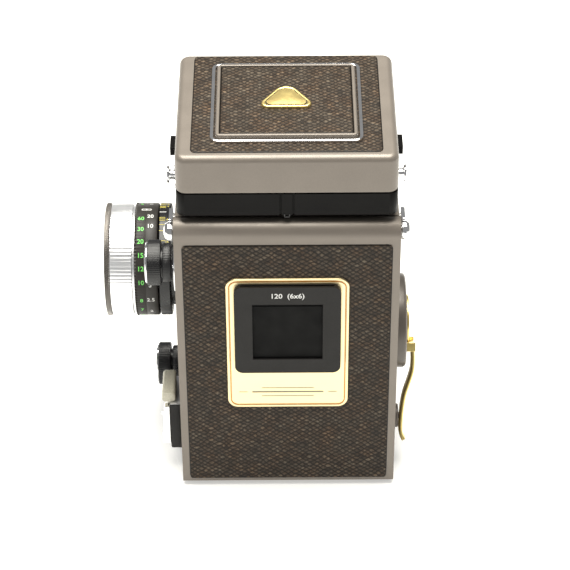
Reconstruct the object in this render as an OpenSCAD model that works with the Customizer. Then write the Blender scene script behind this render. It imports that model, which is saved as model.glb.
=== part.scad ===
// Twin lens reflex camera for 6x6 frames on 120 roll film.
// Millimetres. +Z is up and the lenses look along -Y. The origin is the mouth of the
// tripod socket, in the plane that the feet stand on.

/* [Body] */
// Width of the rear door, which is the widest flat face
body_w = 79; // [78:0.5:82]
// Distance from the tripod axis back to the outer face of the rear door
door_rear = 36; // [35.5:0.5:38]
// Distance from the tripod axis forward to the front wall
front_reach = 36; // [35.5:0.5:37]
// Height of the top of the body above the feet
body_top = 120; // [119.5:0.5:121]
// Thickness of the cast walls
wall = 2.5; // [2:0.1:2.7]
// Height of the feet under the door's bottom panel
foot_h = 2; // [1.8:0.1:2.4]
// Thickness of the leather covering
leather_t = 0.6; // [0.4:0.1:0.8]

/* [Lenses] */
// Height of the taking lens axis
taking_z = 48; // [47:0.5:49]
// Height of the viewing lens axis
viewing_z = 92; // [91:0.5:93]
// Outer radius of both lens barrels
barrel_r = 19; // [17:0.5:19.5]
// Distance from the tripod axis forward to the front of the lens rims
lens_reach = 72; // [70:0.5:76]
// Forward travel of the lens board from infinity to its nearest distance
focus_travel = 7; // [5:0.5:7]

/* [Focus knob] */
// Radius of the focus knob and its scale ring
knob_r = 20.75; // [18:0.25:20.75]
// Height of the focus knob axis
focus_z = 75.7; // [75:0.1:77]
// Turn of the focus knob over the whole focus travel, in degrees
focus_turn = 300; // [200:5:320]

/* [Film transport] */
// Height of the crank axis
crank_z = 50; // [49.5:0.5:51]
// Radius of the crank's base disc
crank_base_r = 17.75; // [16:0.25:17.75]
// Reach of the crank arm from the hub's centre to its end
crank_reach = 45; // [43:0.5:45]
// Lean of the folded crank arm from straight down, towards the rear
crank_lean = 29.2; // [20:0.1:35]
// Radius of a film spool's flanges
spool_r = 12.5; // [12:0.1:12.6]
// Length of a film spool over its flanges
spool_l = 63; // [62:0.5:63]

/* [Hood] */
// Width of the hood
hood_w = 76.5; // [76.2:0.1:77]
// Height of the top of the closed lid
lid_top = 147; // [146.5:0.5:148]
// Height of the lower edge of the lid
lid_bottom = 132.3; // [132:0.1:132.5]

/* [Tripod] */
// Radius of the tripod thread, 1/4 inch nominal
tripod_r = 3.175; // [3.1:0.025:3.2]
// Depth of the tripod thread
tripod_depth = 7; // [6:0.5:7]

/* [Hidden] */
$fn = 96;

wall_x = body_w / 2 - 0.5;             // outer face of the casting's side walls
inner_x = wall_x - wall;               // inner face of the casting's side walls
skin_x = wall_x + leather_t;           // outer face of the side leather
front_in = -front_reach + wall;        // inner face of the front wall
door_in = door_rear - 3;               // inner face of the door's rear panel
door_z0 = foot_h;                      // lower face of the door's bottom panel
door_z1 = foot_h + 3;                  // upper face of the door's bottom panel
hinge_r = 5;                           // radius of the door's rolled top edge
hinge_y = door_rear - hinge_r;         // door hinge axis
hinge_z = body_top - hinge_r;
film_y = door_rear - 6;                // film plane
gate = 56;                             // side of the square film gate
take_y = 20;                           // take-up spool axis
take_z = 93;
supply_y = -14;                        // supply spool axis
supply_z = 18;
focus_y = -5;                          // focus knob axis
crank_y = 0;                           // crank axis
mirror_c = 95;                         // mirror face lies on z - y = mirror_c
mirror_half = 28;                      // half width of the mirror
screen_y0 = -31;                       // focusing screen, front and rear edges
screen_y1 = 25;
board_y0 = -front_reach - 4;           // front face of the lens board at infinity
board_y1 = -front_reach - 0.6;         // rear face of the lens board
housing_y = board_y0 - 9;              // front face of the shutter housing
hood_y0 = -33.4;                       // hood, front and rear faces
hood_y1 = 33.15;
lid_hinge_y = -31.2;                   // lid hinge axis
lid_hinge_z = 134.4;
leaf_x = 34.6;                         // hinge axes of the hood's side panels
leaf_z = 133.6;
leaf_l = 29.6;                         // length of a side panel from its hinge
rear_leaf_y = 29.4;                    // hinge axis of the hood's rear panel
rear_leaf_l = 28;
flap_top = lid_top + 2.2;              // top of the flap on the lid
mag_y = 6.8;                           // magnifier hinge axis
mag_z = 143;
cam_r0 = 6;                            // focus cam radius at infinity

// ---- shared shapes -------------------------------------------------------------

// Box between two corners
module block(x0, x1, y0, y1, z0, z1) {
    translate([x0, y0, z0]) cube([x1 - x0, y1 - y0, z1 - z0]);
}

// Box on one side of the middle plane, side = 1 or -1, between two distances from it
module side_block(side, x0, x1, y0, y1, z0, z1) {
    block(min(side * x0, side * x1), max(side * x0, side * x1), y0, y1, z0, z1);
}

// Round bar along X, Y or Z
module rod_x(x0, x1, y, z, r) { translate([x0, y, z]) rotate([0, 90, 0]) cylinder(h = x1 - x0, r = r); }
module rod_y(y0, y1, x, z, r) { translate([x, y0, z]) rotate([-90, 0, 0]) cylinder(h = y1 - y0, r = r); }
module rod_z(z0, z1, x, y, r) { translate([x, y, z0]) cylinder(h = z1 - z0, r = r); }

// Round bar along X on one side of the middle plane, as side_block
module side_rod(side, x0, x1, y, z, r) {
    rod_x(min(side * x0, side * x1), max(side * x0, side * x1), y, z, r);
}

// Rounded rectangle centred on the origin
module round_rect(w, h, r) {
    square([w, h - 2 * r], center = true);
    square([w - 2 * r, h], center = true);
    for (sx = [-1, 1], sy = [-1, 1])
        translate([sx * (w / 2 - r), sy * (h / 2 - r)]) circle(r = r);
}

// Upright plate in the XZ plane, from y0 to y1
module plate_xz(w, z0, z1, r, y0, y1) {
    translate([0, y1, (z0 + z1) / 2]) rotate([90, 0, 0])
        linear_extrude(height = y1 - y0) round_rect(w, z1 - z0, r);
}

// Flat plate in the XY plane, from z0 to z1
module plate_xy(w, y0, y1, r, z0, z1) {
    translate([0, (y0 + y1) / 2, z0])
        linear_extrude(height = z1 - z0) round_rect(w, y1 - y0, r);
}

// Shape drawn in the YZ plane, made solid from x0 to x1
module solid_yz(x0, x1) {
    translate([x0, 0, 0]) rotate([90, 0, 90]) linear_extrude(height = x1 - x0) children();
}

// Turned piece about an axis along X, from points [radius, x]
module turned_x(y, z, points) {
    translate([0, y, z]) rotate([0, 90, 0]) rotate_extrude() polygon(points);
}

// Turned piece about an axis along Y, from points [radius, y]
module turned_y(x, z, points) {
    translate([x, 0, z]) rotate([-90, 0, 0]) rotate_extrude() polygon(points);
}

// Outline of a spur gear with one tooth centred on the angle turn
tooth_tip = 0.75;
tooth_root = 1;
function gear_points(teeth, pitch_r, turn) = [
    for (i = [0 : teeth - 1], k = [0 : 3])
        let (a = turn + 360 / teeth * (i + [-0.26, -0.1, 0.1, 0.26][k]),
             r = pitch_r + [-tooth_root, tooth_tip, tooth_tip, -tooth_root][k])
        [r * cos(a), r * sin(a)]
];

// ---- body ------------------------------------------------------------------------

strut_x = 31.2;
strut_r = 1.4;
strut_zs = [36, 106];
run_fit = 0.05;                        // radial clearance of a running fit
roller_y = film_y - 1.8;
roller_zs = [80.3, 15.7];
counter_y = -12;
counter_z = 98;

// Round openings in the casting's side walls, as [y, z, radius, side]
side_bores = [
    [focus_y, focus_z, 3 + run_fit, 1],
    [take_y, take_z, 3 + run_fit, 1],
    [supply_y, supply_z, 3 + run_fit, 1],
    [crank_y, crank_z, 3 + run_fit, -1],
    [take_y, take_z, 2.5 + run_fit, -1],
    [counter_y + 5.5, counter_z, 3, -1]
];

module body_casting() {
    color([0.47, 0.43, 0.39]) difference() {
        union() {
            difference() {
                block(-wall_x, wall_x, -front_reach, door_in - 0.3, door_z1 + 0.3, body_top);
                block(-inner_x, inner_x, front_in, door_in + 1, foot_h, body_top - 4);
            }
            for (sx = [-1, 1], z = strut_zs)
                side_block(sx, strut_x - 1.7, inner_x,
                      front_in, front_in + 10, z - 3, z + 3);
            rod_x(inner_x - 1, inner_x, focus_y, focus_z, 6);
        }
        block(-27, 27, -front_reach - 1, front_in + 0.1, 17, 109);
        block(-28.5, 28.5, screen_y0 - 0.5, screen_y1 + 0.5, body_top - 5, body_top + 1);
        rod_x(-wall_x - 1, wall_x + 1, hinge_y, hinge_z, hinge_r + 0.3);
        for (b = side_bores)
            rod_x(b[3] > 0 ? inner_x - 4 : -wall_x - 1, b[3] > 0 ? wall_x + 1 : -inner_x + 1,
                  b[0], b[1], b[2]);
        for (sx = [-1, 1], z = strut_zs)
            rod_y(-front_reach - 1, front_in + 11, sx * strut_x, z, strut_r + run_fit);
        for (z = roller_zs) rod_x(-inner_x - 1.7, inner_x + 1.7, roller_y, z, 1 + run_fit);
    }
}

module film_gate() {
    color([0.12, 0.12, 0.12]) difference() {
        block(-inner_x, inner_x, film_y - 1.5, film_y, 18, 78);
        block(-gate / 2, gate / 2, film_y - 2, film_y + 1, taking_z - gate / 2, taking_z + gate / 2);
    }
}

mirror_back = mirror_c - 1.7;          // the glass's back lies on z - y = mirror_back
mirror_under = mirror_back - 1.4;      // and the holder's underside on this
cheek_top = body_top - 4;

// Cheeks beside the viewing chamber and the slanted plate that carries the mirror
module mirror_box() {
    color([0.1, 0.1, 0.1]) union() {
        for (sx = [-1, 1]) solid_yz(min(sx * 28.3, sx * 29.3), max(sx * 28.3, sx * 29.3))
            difference() {
                polygon([[-26, mirror_under - 26],
                         [cheek_top - mirror_under, cheek_top],
                         [-26, cheek_top]]);
                if (sx > 0) polygon([[-27, 72.5], [-19, 72.5], [-19, 79], [-27, 79]]);
            }
        solid_yz(-28.8, 28.8)
            polygon([[-26, mirror_back - 26], [20, mirror_back + 20],
                     [20, mirror_under + 20], [-26, mirror_under - 26]]);
    }
}

module reflex_mirror() {
    color([0.85, 0.88, 0.9]) solid_yz(-mirror_half, mirror_half)
        polygon([[-24.5, mirror_c - 24.5], [18.5, mirror_c + 18.5],
                 [19.35, mirror_back + 19.35], [-23.65, mirror_back - 23.65]]);
}

module side_leather() {
    color([0.2, 0.17, 0.15]) for (sx = [-1, 1]) difference() {
        solid_yz(min(sx * wall_x, sx * skin_x), max(sx * wall_x, sx * skin_x))
            translate([-1.5, 61]) round_rect(59, 99, 3);
        if (sx > 0) {
            rod_x(wall_x - 1, skin_x + 1, focus_y, focus_z, 17.1);
            rod_x(wall_x - 1, skin_x + 1, take_y, take_z, 10.6);
            rod_x(wall_x - 1, skin_x + 1, supply_y, supply_z, 10.6);
            block(wall_x - 1, skin_x + 1, 8.9, 26.1, 9.4, 31.1);
        }
        if (sx < 0) {
            rod_x(-skin_x - 1, -wall_x + 1, crank_y, crank_z, crank_base_r + 0.1);
            rod_x(-skin_x - 1, -wall_x + 1, counter_y + 5.5, counter_z, 4.6);
        }
        block(min(sx * wall_x, sx * (skin_x + 1)) - 0.5, max(sx * wall_x, sx * (skin_x + 1)) + 0.5,
              -12.2, -1.8, 105, 120);
    }
}

// Lug that a strap's clip hooks over: a base plate and a stud with a hole
module strap_lugs() {
    y = -7;
    z = 112.5;
    color([0.85, 0.85, 0.86]) for (sx = [-1, 1]) mirror([sx < 0 ? 1 : 0, 0, 0]) difference() {
        union() {
            block(wall_x, wall_x + 1, y - 5, y + 5, z - 7, z + 5);
            rod_x(wall_x, wall_x + 3.4, y, z, 2.2);
            rod_x(wall_x + 3.4, wall_x + 4.6, y, z, 3.2);
            rod_x(wall_x + 1, wall_x + 1.6, y, z - 5, 1.2);
        }
        rod_z(z - 4, z + 4, wall_x + 2.6, y, 0.6);
    }
}

module spool_escutcheons() {
    color([0.85, 0.85, 0.86]) for (c = [[take_y, take_z], [supply_y, supply_z]])
        turned_x(c[0], c[1],
            [[3 + run_fit, wall_x], [10.5, wall_x], [10.5, 40.3], [9.8, 41], [3 + run_fit, 41]]);
}

// Fixed ring beside the focus scale, with its collar on the body
module depth_ring() {
    color([0.08, 0.08, 0.08]) turned_x(focus_y, focus_z,
        [[3 + run_fit, wall_x], [17, wall_x], [17, 42.4], [knob_r, 42.4],
         [knob_r, 46.5], [3 + run_fit, 46.5]]);
}

// Accessory shoe low on the focus side
module shoe_base() {
    color([0.1, 0.1, 0.1]) block(wall_x, 44, 9, 26, 9.5, 31);
}

module shoe_cover() {
    color([0.72, 0.69, 0.6]) difference() {
        union() {
            block(41.8, 46.8, 10.5, 24.5, 31, 33);
            rod_y(10.5, 24.5, 44.3, 32.8, 2.5);
        }
        block(40, 48, 9, 26, 30, 31);
    }
}

// Rails of the shoe, deeper at the foot than at the mouth, with lips turned over the slot
module shoe_rails() {
    color([0.85, 0.85, 0.86]) difference() {
        translate([0, 26, 0]) rotate([90, 0, 0]) linear_extrude(height = 17)
            polygon([[44, 12], [47.2, 12], [46, 30], [44, 30]]);
        block(44.8, 46.2, 10, 25, 11, 31);
        block(44.8, 48, 11.6, 23.4, 11, 31);
    }
}

module crank_base() {
    color([0.55, 0.52, 0.47]) turned_x(crank_y, crank_z,
        [[3 + run_fit, -44.2], [crank_base_r - 1, -44.2], [crank_base_r, -43.2],
         [crank_base_r, -wall_x], [3 + run_fit, -wall_x]]);
}

// Glass and bezel of the frame counter window
module counter_window() {
    y = counter_y + 5.5;
    color([0.8, 0.8, 0.8]) turned_x(y, counter_z,
        [[3, -wall_x], [4.5, -wall_x], [4.5, -40.2], [3.6, -40.6], [3, -40.6]]);
    color([0.8, 0.9, 0.9, 0.5]) rod_x(-wall_x - 0.8, -wall_x + 1, y, counter_z, 3);
}

hinge_lug_z = 3.2;                     // half height of a door hinge lug
module hinge_pins() {
    color([0.88, 0.88, 0.88]) {
        for (sx = [-1, 1]) mirror([sx < 0 ? 1 : 0, 0, 0]) {
            turned_x(hinge_y, hinge_z,
                [[0, 33], [1.5, 33], [1.5, 39.8], [3.4, 39.8], [3.4, 41.4],
                 [2.6, 42.5], [1.2, 43], [0, 43]]);
            block(39.8, 41.2, 21.5, hinge_y - 3, hinge_z - hinge_lug_z, hinge_z + 3);
            rod_x(wall_x, 39.8, 23.2, hinge_z, 1.2);
            rod_x(26, 32, lid_hinge_y, lid_hinge_z, 0.8);
            rod_y(-29, 28.8, leaf_x, leaf_z, 0.4);
        }
        rod_x(-34, 34, rear_leaf_y, leaf_z, 0.4);
    }
}

// Hinge pins of the hood run in these lugs, which stand on the hood base
module hood_lugs() {
    for (sx = [-1, 1]) mirror([sx < 0 ? 1 : 0, 0, 0]) {
        block(29.3, 32, -31.2, -29.2, 130, 135.6);
        block(33.6, 36.1, -29, -27.5, 130, 134.8);
        block(33.6, 36.1, 28.3, 30.4, 132, 134.8);
    }
}

module hood_base() {
    color([0.09, 0.09, 0.09]) difference() {
        union() {
            plate_xy(hood_w - 4, hood_y0 + 2, 27, 3, body_top, 123.2);
            plate_xy(hood_w, hood_y0, hood_y1, 3, 123.2, lid_bottom - 0.3);
            hood_lugs();
        }
        block(-28, 28, screen_y0 + 0.5, screen_y1 - 0.5, body_top - 1, lid_bottom + 1);
        block(-mirror_half - 0.8, mirror_half + 0.8, screen_y0, screen_y1, body_top - 1, 121.8);
        difference() {
            block(-hood_w, hood_w, hood_y0 - 1, -28.2, 131, lid_bottom + 6);
            hood_lugs();
        }
        for (sx = [-1, 1]) block(sx * 2.2 - 0.4, sx * 2.2 + 0.4, hood_y1 - 0.8, hood_y1 + 1, 122, 133);
        for (sx = [-1, 1])
            side_block(sx, 36.2, 39, -8.2, 0.2, 125, 129.2);
        for (sx = [-1, 1]) side_rod(sx, 29, 33, lid_hinge_y, lid_hinge_z, 0.8);
        for (sx = [-1, 1]) rod_y(-29, 28.8, sx * leaf_x, leaf_z, 0.4);
        rod_x(-34, 34, rear_leaf_y, leaf_z, 0.4);
    }
}

module focusing_screen() {
    color([0.8, 0.85, 0.85, 0.6])
        block(-mirror_half - 0.6, mirror_half + 0.6, screen_y0 + 0.2, screen_y1 - 0.2, body_top, 121.6);
}

// ---- rear door ---------------------------------------------------------------------

module rear_door() {
    half = body_w / 2;
    color([0.47, 0.43, 0.39]) difference() {
        union() {
            block(-half, half, door_in, door_rear, door_z0, hinge_z);
            rod_x(-half, half, hinge_y, hinge_z, hinge_r);
            block(-half, half, -front_reach, door_rear, door_z0, door_z1);
        }
        rod_x(32, half + 1, hinge_y, hinge_z, 1.5 + run_fit);
        rod_x(-half - 1, -32, hinge_y, hinge_z, 1.5 + run_fit);
        rod_z(door_z0 - 1, door_z1 + 1, 0, 0, 8);
    }
}

module rear_leather() {
    color([0.2, 0.17, 0.15]) plate_xz(73.6, 3.3, 112.5, 2, door_rear, door_rear + 0.5);
}

module badge_plate() {
    color([0.9, 0.85, 0.65]) plate_xz(43.6, 39.4, 98.3, 3.5, door_rear + 0.5, door_rear + 1.1);
}

// Holder for the end flap of a film box, open at the top
module film_memo_holder() {
    y0 = door_rear + 1.1;
    color([0.07, 0.07, 0.07]) difference() {
        plate_xz(37.9, 57.2, 96.1, 3, y0, y0 + 2);
        block(-16.5, 16.5, y0 + 0.5, y0 + 1.3, 60, 97);
        block(-12.5, 12.5, y0 + 1, y0 + 3, 63.5, 88.5);
    }
}

module pressure_spring() {
    color([0.8, 0.8, 0.82]) block(-20, 20, door_in - 0.5, door_in, 44, 52);
}

module pressure_plate() {
    color([0.15, 0.15, 0.16]) plate_xz(62, taking_z - 30, taking_z + 30, 2, film_y + 0.3, film_y + 1.5);
}

module tripod_plate() {
    color([0.6, 0.6, 0.62]) difference() {
        union() {
            rod_z(0, foot_h, 0, 0, 14);
            rod_z(foot_h, tripod_depth + 1.5, 0, 0, 8);
        }
        rod_z(-1, tripod_depth, 0, 0, tripod_r);
    }
}

module feet() {
    color([0.12, 0.12, 0.12]) for (sx = [-1, 1], y = [-29, 29])
        translate([sx * 32, y, 0]) cylinder(h = foot_h, r = 3.5);
}

// Ring round the tripod plate, with the tab that unlocks the door
module latch_lever() {
    color([0.6, 0.6, 0.62]) difference() {
        union() {
            rod_z(0.4, 1.8, 0, 0, 18);
            block(-5, 5, -26, -12, 0.4, 1.8);
        }
        rod_z(-1, 3, 0, 0, 14 + run_fit);
    }
}

// ---- lens board --------------------------------------------------------------------

module lens_board() {
    color([0.5, 0.46, 0.42]) difference() {
        union() {
            plate_xz(66, 12, 114, 10, board_y0, board_y1);
            block(-26.5, 26.5, board_y1, front_in + 4.5, 17.5, 108.5);
        }
        block(-24.5, 24.5, board_y1, front_in + 5, 20, 66);
        block(-24.5, 24.5, board_y1, front_in + 5, 69, 107);
        for (z = [taking_z, viewing_z]) rod_y(board_y0 - 1, board_y1 + 1, 0, z, 13);
    }
}

// Struts that guide the lens board, and the arm that follows the focus cam
module focus_struts() {
    pin_y = focus_y - cam_r0;
    color([0.75, 0.75, 0.77]) {
        for (sx = [-1, 1], z = strut_zs) rod_y(board_y1, -14, sx * strut_x, z, strut_r);
        block(24.5, 26.4, front_in + 4.5, front_in + 11, 73, 78.4);
        block(26.4, 31.6, front_in + 8.5, front_in + 11, 73, 78.4);
        block(30.2, 31.6, front_in + 11, pin_y + 2, 73, 78.4);
        rod_x(31.6, 35, pin_y, focus_z, 0.8);
    }
}

module shutter_housing() {
    color([0.14, 0.14, 0.14]) difference() {
        union() {
            rod_y(housing_y, board_y0, 0, taking_z, 24);
            rod_y(housing_y, board_y0, 0, viewing_z, 21.5);
            block(-16, 16, housing_y, board_y0, taking_z, viewing_z);
        }
        for (z = [taking_z, viewing_z]) rod_y(housing_y - 1, board_y0 + 1, 0, z, 14);
    }
}

// Two equal barrels, each ending in a bayonet rim
module lens_barrels() {
    color([0.1, 0.1, 0.1]) for (z = [taking_z, viewing_z])
        turned_y(0, z, [[14, housing_y], [barrel_r, housing_y], [barrel_r, -68], [barrel_r + 1.6, -68],
                        [barrel_r + 1.6, -lens_reach], [16, -lens_reach], [14, -66]]);
}

// Front and rear glass of each lens
module lens_glasses() {
    color([0.55, 0.6, 0.75, 0.7]) for (z = [taking_z, viewing_z]) {
        intersection() {
            rod_y(-66, -58, 0, z, 13.9);
            translate([0, -38, z]) sphere(r = 26);
        }
        intersection() {
            rod_y(board_y0 - 1, -36, 0, z, 12.5);
            translate([0, -66, z]) sphere(r = 28.5);
        }
    }
}

module sync_socket() {
    color([0.85, 0.85, 0.86]) difference() {
        rod_y(board_y0 - 3.5, board_y0, 25, 22, 3.6);
        rod_y(board_y0 - 4, board_y0 - 0.5, 25, 22, 2);
    }
}

// Small wheel between the lenses, ribbed round its edge
module setting_wheel(x) {
    z = (taking_z + viewing_z) / 2 + 1.5;
    difference() {
        rod_y(board_y0 - 6, board_y0 - 0.3, x, z, 7);
        for (a = [0 : 15 : 345])
            rod_y(board_y0 - 7, board_y0 + 1, x + 7.3 * cos(a), z + 7.3 * sin(a), 0.55);
    }
}

module aperture_wheel() { color([0.85, 0.85, 0.86]) setting_wheel(25.4); }

module speed_wheel() { color([0.85, 0.85, 0.86]) setting_wheel(-25.4); }

button_x = -25;
button_z = 22;
module release_button() {
    color([0.88, 0.88, 0.88]) {
        rod_y(board_y0 - 7, board_y0 - 4.2, button_x, button_z, 3.6);
        rod_y(board_y0 - 4.2, board_y0 - 2.6, button_x, button_z, 2);
    }
}

module release_lock() {
    color([0.7, 0.7, 0.7]) difference() {
        union() {
            rod_y(board_y0 - 3.6, board_y0 - 0.2, button_x, button_z, 5.6);
            block(button_x - 1.2, button_x + 1.2, board_y0 - 3.6, board_y0 - 0.2,
                  button_z - 8, button_z - 4.5);
        }
        rod_y(board_y0 - 4, board_y0, button_x, button_z, 3.9);
    }
}

// ---- focus knob ----------------------------------------------------------------------

// Disc with a spiral slot that drives the follower pin, on the focus shaft
module focus_shaft() {
    steps = 60;
    slot = 0.8 + 0.3;
    rate = focus_travel / focus_turn;
    function spiral(offset, i) =
        let (t = focus_turn * i / steps, r = cam_r0 + rate * t + offset, a = 180 + t)
        [r * cos(a), r * sin(a)];
    color([0.7, 0.68, 0.6]) {
        difference() {
            rod_x(33, 35, focus_y, focus_z, 16);
            solid_yz(32, 36) translate([focus_y, focus_z]) {
                polygon(concat([for (i = [0 : steps]) spiral(slot, i)],
                               [for (i = [steps : -1 : 0]) spiral(-slot, i)]));
                for (i = [0, steps]) translate(spiral(0, i)) circle(r = slot);
            }
        }
        rod_x(34.5, 48, focus_y, focus_z, 3);
    }
}

module focus_scale_ring() {
    color([0.08, 0.08, 0.08]) turned_x(focus_y, focus_z,
        [[3, 46.9], [knob_r, 46.9], [knob_r, 55.2], [0, 55.2], [0, 48], [3, 48]]);
}

module focus_knob() {
    color([0.86, 0.86, 0.87]) turned_x(focus_y, focus_z,
        [[0, 55.2], [knob_r - 0.3, 55.2], [knob_r - 0.3, 63.5], [5, 63.5], [5, 65.5], [0, 65.5]]);
}

module film_speed_dial() {
    color([0.25, 0.24, 0.23]) turned_x(focus_y, focus_z,
        [[5 + run_fit, 63.6], [knob_r - 0.4, 63.6], [knob_r, 64.4], [knob_r, 65.8], [knob_r - 0.6, 66.4],
         [5 + run_fit, 66.4]]);
}

// ---- film transport ------------------------------------------------------------------

// Knob that pulls out to free a spool
module spool_knob(y, z) {
    turned_x(y, z, [[0, 29], [2.4, 29], [2.4, 33], [3, 33], [3, 41.3], [6.95, 41.3], [6.95, 44.4],
                    [5.6, 44.4], [5.6, 45], [8.2, 45], [8.2, 50], [7.4, 50.5], [5, 51], [0, 51.1]]);
}

module upper_spool_knob() { color([0.1, 0.1, 0.1]) spool_knob(take_y, take_z); }

module lower_spool_knob() { color([0.1, 0.1, 0.1]) spool_knob(supply_y, supply_z); }

module take_up_spool() {
    half = spool_l / 2;
    color([0.1, 0.1, 0.1]) turned_x(take_y, take_z,
        [[2.5, -half], [spool_r, -half], [spool_r, 1.5 - half], [5.5, 1.5 - half],
         [5.5, half - 1.5], [spool_r, half - 1.5], [spool_r, half], [2.5, half]]);
}

gear_m = 1;                            // gear module
crank_teeth = 28;
idler_teeth = 24;
spool_teeth = 19;
crank_to_idler = (crank_teeth + idler_teeth) / 2 * gear_m;
idler_to_spool = (idler_teeth + spool_teeth) / 2 * gear_m;
crank_to_spool = norm([take_y - crank_y, take_z - crank_z]);
spool_angle = atan2(take_z - crank_z, take_y - crank_y);
idler_bend = acos((crank_to_idler ^ 2 + crank_to_spool ^ 2 - idler_to_spool ^ 2)
                  / (2 * crank_to_idler * crank_to_spool));
idler_angle = spool_angle + idler_bend;
idler_y = crank_y + crank_to_idler * cos(idler_angle);
idler_z = crank_z + crank_to_idler * sin(idler_angle);
idler_turn = idler_angle + 180 + 180 / idler_teeth;
mesh_angle = atan2(take_z - idler_z, take_y - idler_y);
idler_pitch = 360 / idler_teeth;
mesh_off = (idler_turn - mesh_angle) - idler_pitch * round((idler_turn - mesh_angle) / idler_pitch);
spool_turn = mesh_angle + 180 - mesh_off * idler_teeth / spool_teeth + 180 / spool_teeth;

module gear(y, z, teeth, turn) {
    solid_yz(-35.8, -33.8) translate([y, z])
        polygon(gear_points(teeth, teeth * gear_m / 2, turn));
}

module spool_gear() {
    color([0.75, 0.68, 0.45]) {
        gear(take_y, take_z, spool_teeth, spool_turn);
        rod_x(-38.6, -29, take_y, take_z, 2.5);
    }
}

module idler_gear() {
    color([0.75, 0.68, 0.45]) {
        difference() {
            gear(idler_y, idler_z, idler_teeth, idler_turn);
            rod_x(-37, -33, idler_y, idler_z, 2 + run_fit);
        }
    }
}

// Everything on the crank is drawn pointing down, then leaned to its folded place
module at_crank() {
    translate([0, crank_y, crank_z]) rotate([crank_lean, 0, 0]) children();
}

fold_x = -46.8;                        // fold axis of the crank arm
fold_d = 9.5;
arm_w = 10;
module crank_hub() {
    color([0.85, 0.78, 0.5]) {
        gear(crank_y, crank_z, crank_teeth, idler_angle);
        rod_x(-45, -35, crank_y, crank_z, 3);
        at_crank() {
            rod_x(-45.4, -44.4, 0, 0, 9.5);
            for (sy = [-1, 1])
                block(-47.8, -44.4, sy * 6.2 - 0.9, sy * 6.2 + 0.9, -fold_d - 1.4, -fold_d + 2);
            rod_y(-6, 6, fold_x, -fold_d, 0.5);
        }
    }
}

module crank_arm() {
    d = fold_d;
    end = crank_reach;
    color([0.85, 0.72, 0.4]) at_crank() difference() {
        union() {
            rod_y(-arm_w / 2, arm_w / 2, fold_x, -d, 1);
            translate([0, arm_w / 2, 0]) rotate([90, 0, 0]) linear_extrude(height = arm_w)
                polygon([[-47.5, -d], [-47.5, -19.5], [-44.2, -28], [-43.2, 3 - end], [-44.2, -end],
                         [-42.8, -end], [-41.8, 3 - end], [-42.8, -27.4], [-46.1, -18.9], [-46.1, -d]]);
        }
        rod_y(-arm_w, arm_w, fold_x, -d, 0.55);
    }
}

handle_d = 36.5;
module crank_handle() {
    color([0.12, 0.11, 0.1]) at_crank() translate([-41.5, 0, -handle_d]) rotate([0, 90, 0])
        cylinder(h = 1.3, r = 4.5);
}

module counter_dial() {
    color([0.9, 0.9, 0.88]) {
        rod_x(-36.2, -35.2, counter_y, counter_z, 8);
        rod_x(-35.2, -33, counter_y, counter_z, 1);
    }
}

module roller(z) {
    color([0.7, 0.7, 0.72]) {
        rod_x(-31, 31, roller_y, z, 1.8);
        for (sx = [-1, 1]) side_rod(sx, 31, inner_x + 1.5, roller_y, z, 1);
    }
}

module upper_roller() { roller(roller_zs[0]); }

module lower_roller() { roller(roller_zs[1]); }

// ---- hood ------------------------------------------------------------------------------

module hood_lid() {
    t = 1.8;
    color([0.5, 0.46, 0.42]) difference() {
        union() {
            difference() {
                plate_xy(hood_w, hood_y0, hood_y1, 3, lid_bottom, lid_top);
                plate_xy(hood_w - 2 * t, hood_y0 + t, hood_y1 - t, 1.5, lid_bottom - 1, lid_top - t);
                for (sx = [-1, 1])
                    side_block(sx, 29, 32.3, hood_y0 - 1, -28, lid_bottom - 1, 138);
            }
            for (sx = [-1, 1]) {
                side_block(sx, 26.4, 29, hood_y0 + t, -29.6, 133, 136.6);
                side_block(sx, 15.3, 17, mag_y - 1.6, mag_y + 1.6, 141.5, lid_top - t);
            }
        }
        rod_x(-29.1, 29.1, lid_hinge_y, lid_hinge_z, 0.8 + run_fit);
        rod_x(-17.1, 17.1, mag_y, mag_z, 0.5 + run_fit);
        for (sx = [-1, 1])
            side_block(sx, 36.2, 39, -8.2, 0.2, lid_bottom - 1, 134);
    }
}

module lid_leather() {
    color([0.2, 0.17, 0.15]) plate_xy(65.9, -31.2, 29.9, 2, lid_top, lid_top + 0.4);
}

// Frame of the sports finder on the lid, with its raised centre flap
module finder_frame() {
    color([0.88, 0.88, 0.88]) {
        plate_xy(52.8, -24.8, 24.6, 2, lid_top + 0.4, lid_top + 1.4);
        plate_xy(49.4, -23.1, 22.9, 1, lid_top + 0.4, flap_top);
    }
}

// Plain medallion: a circle cut to a flat rear edge and two slanted sides
module lid_emblem() {
    color([0.85, 0.7, 0.3]) translate([0, 0, flap_top]) linear_extrude(height = 0.9)
        intersection() {
            translate([0, 2]) circle(r = 9.2);
            polygon([[-12, 6], [12, 6], [12, 3.5], [3, -6.5], [-3, -6.5], [-12, 3.5]]);
        }
}

// Hood panel that folds about a tube at its edge; drawn folded, hinge along Y
module side_panel(sx) {
    tip_x = sx * (leaf_x - leaf_l);
    color([0.1, 0.1, 0.1]) difference() {
        union() {
            rod_y(-27, 27.6, sx * leaf_x, leaf_z, 0.9);
            translate([0, 0, leaf_z]) linear_extrude(height = 0.8)
                polygon([[sx * (leaf_x - 0.6), -27], [tip_x, -27 + leaf_l * 0.25],
                         [tip_x, 27 - leaf_l], [sx * (leaf_x - 0.6), 27]]);
        }
        rod_y(-28, 28, sx * leaf_x, leaf_z, 0.45);
    }
}

module hood_left_panel() { side_panel(1); }

module hood_right_panel() { side_panel(-1); }

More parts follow.
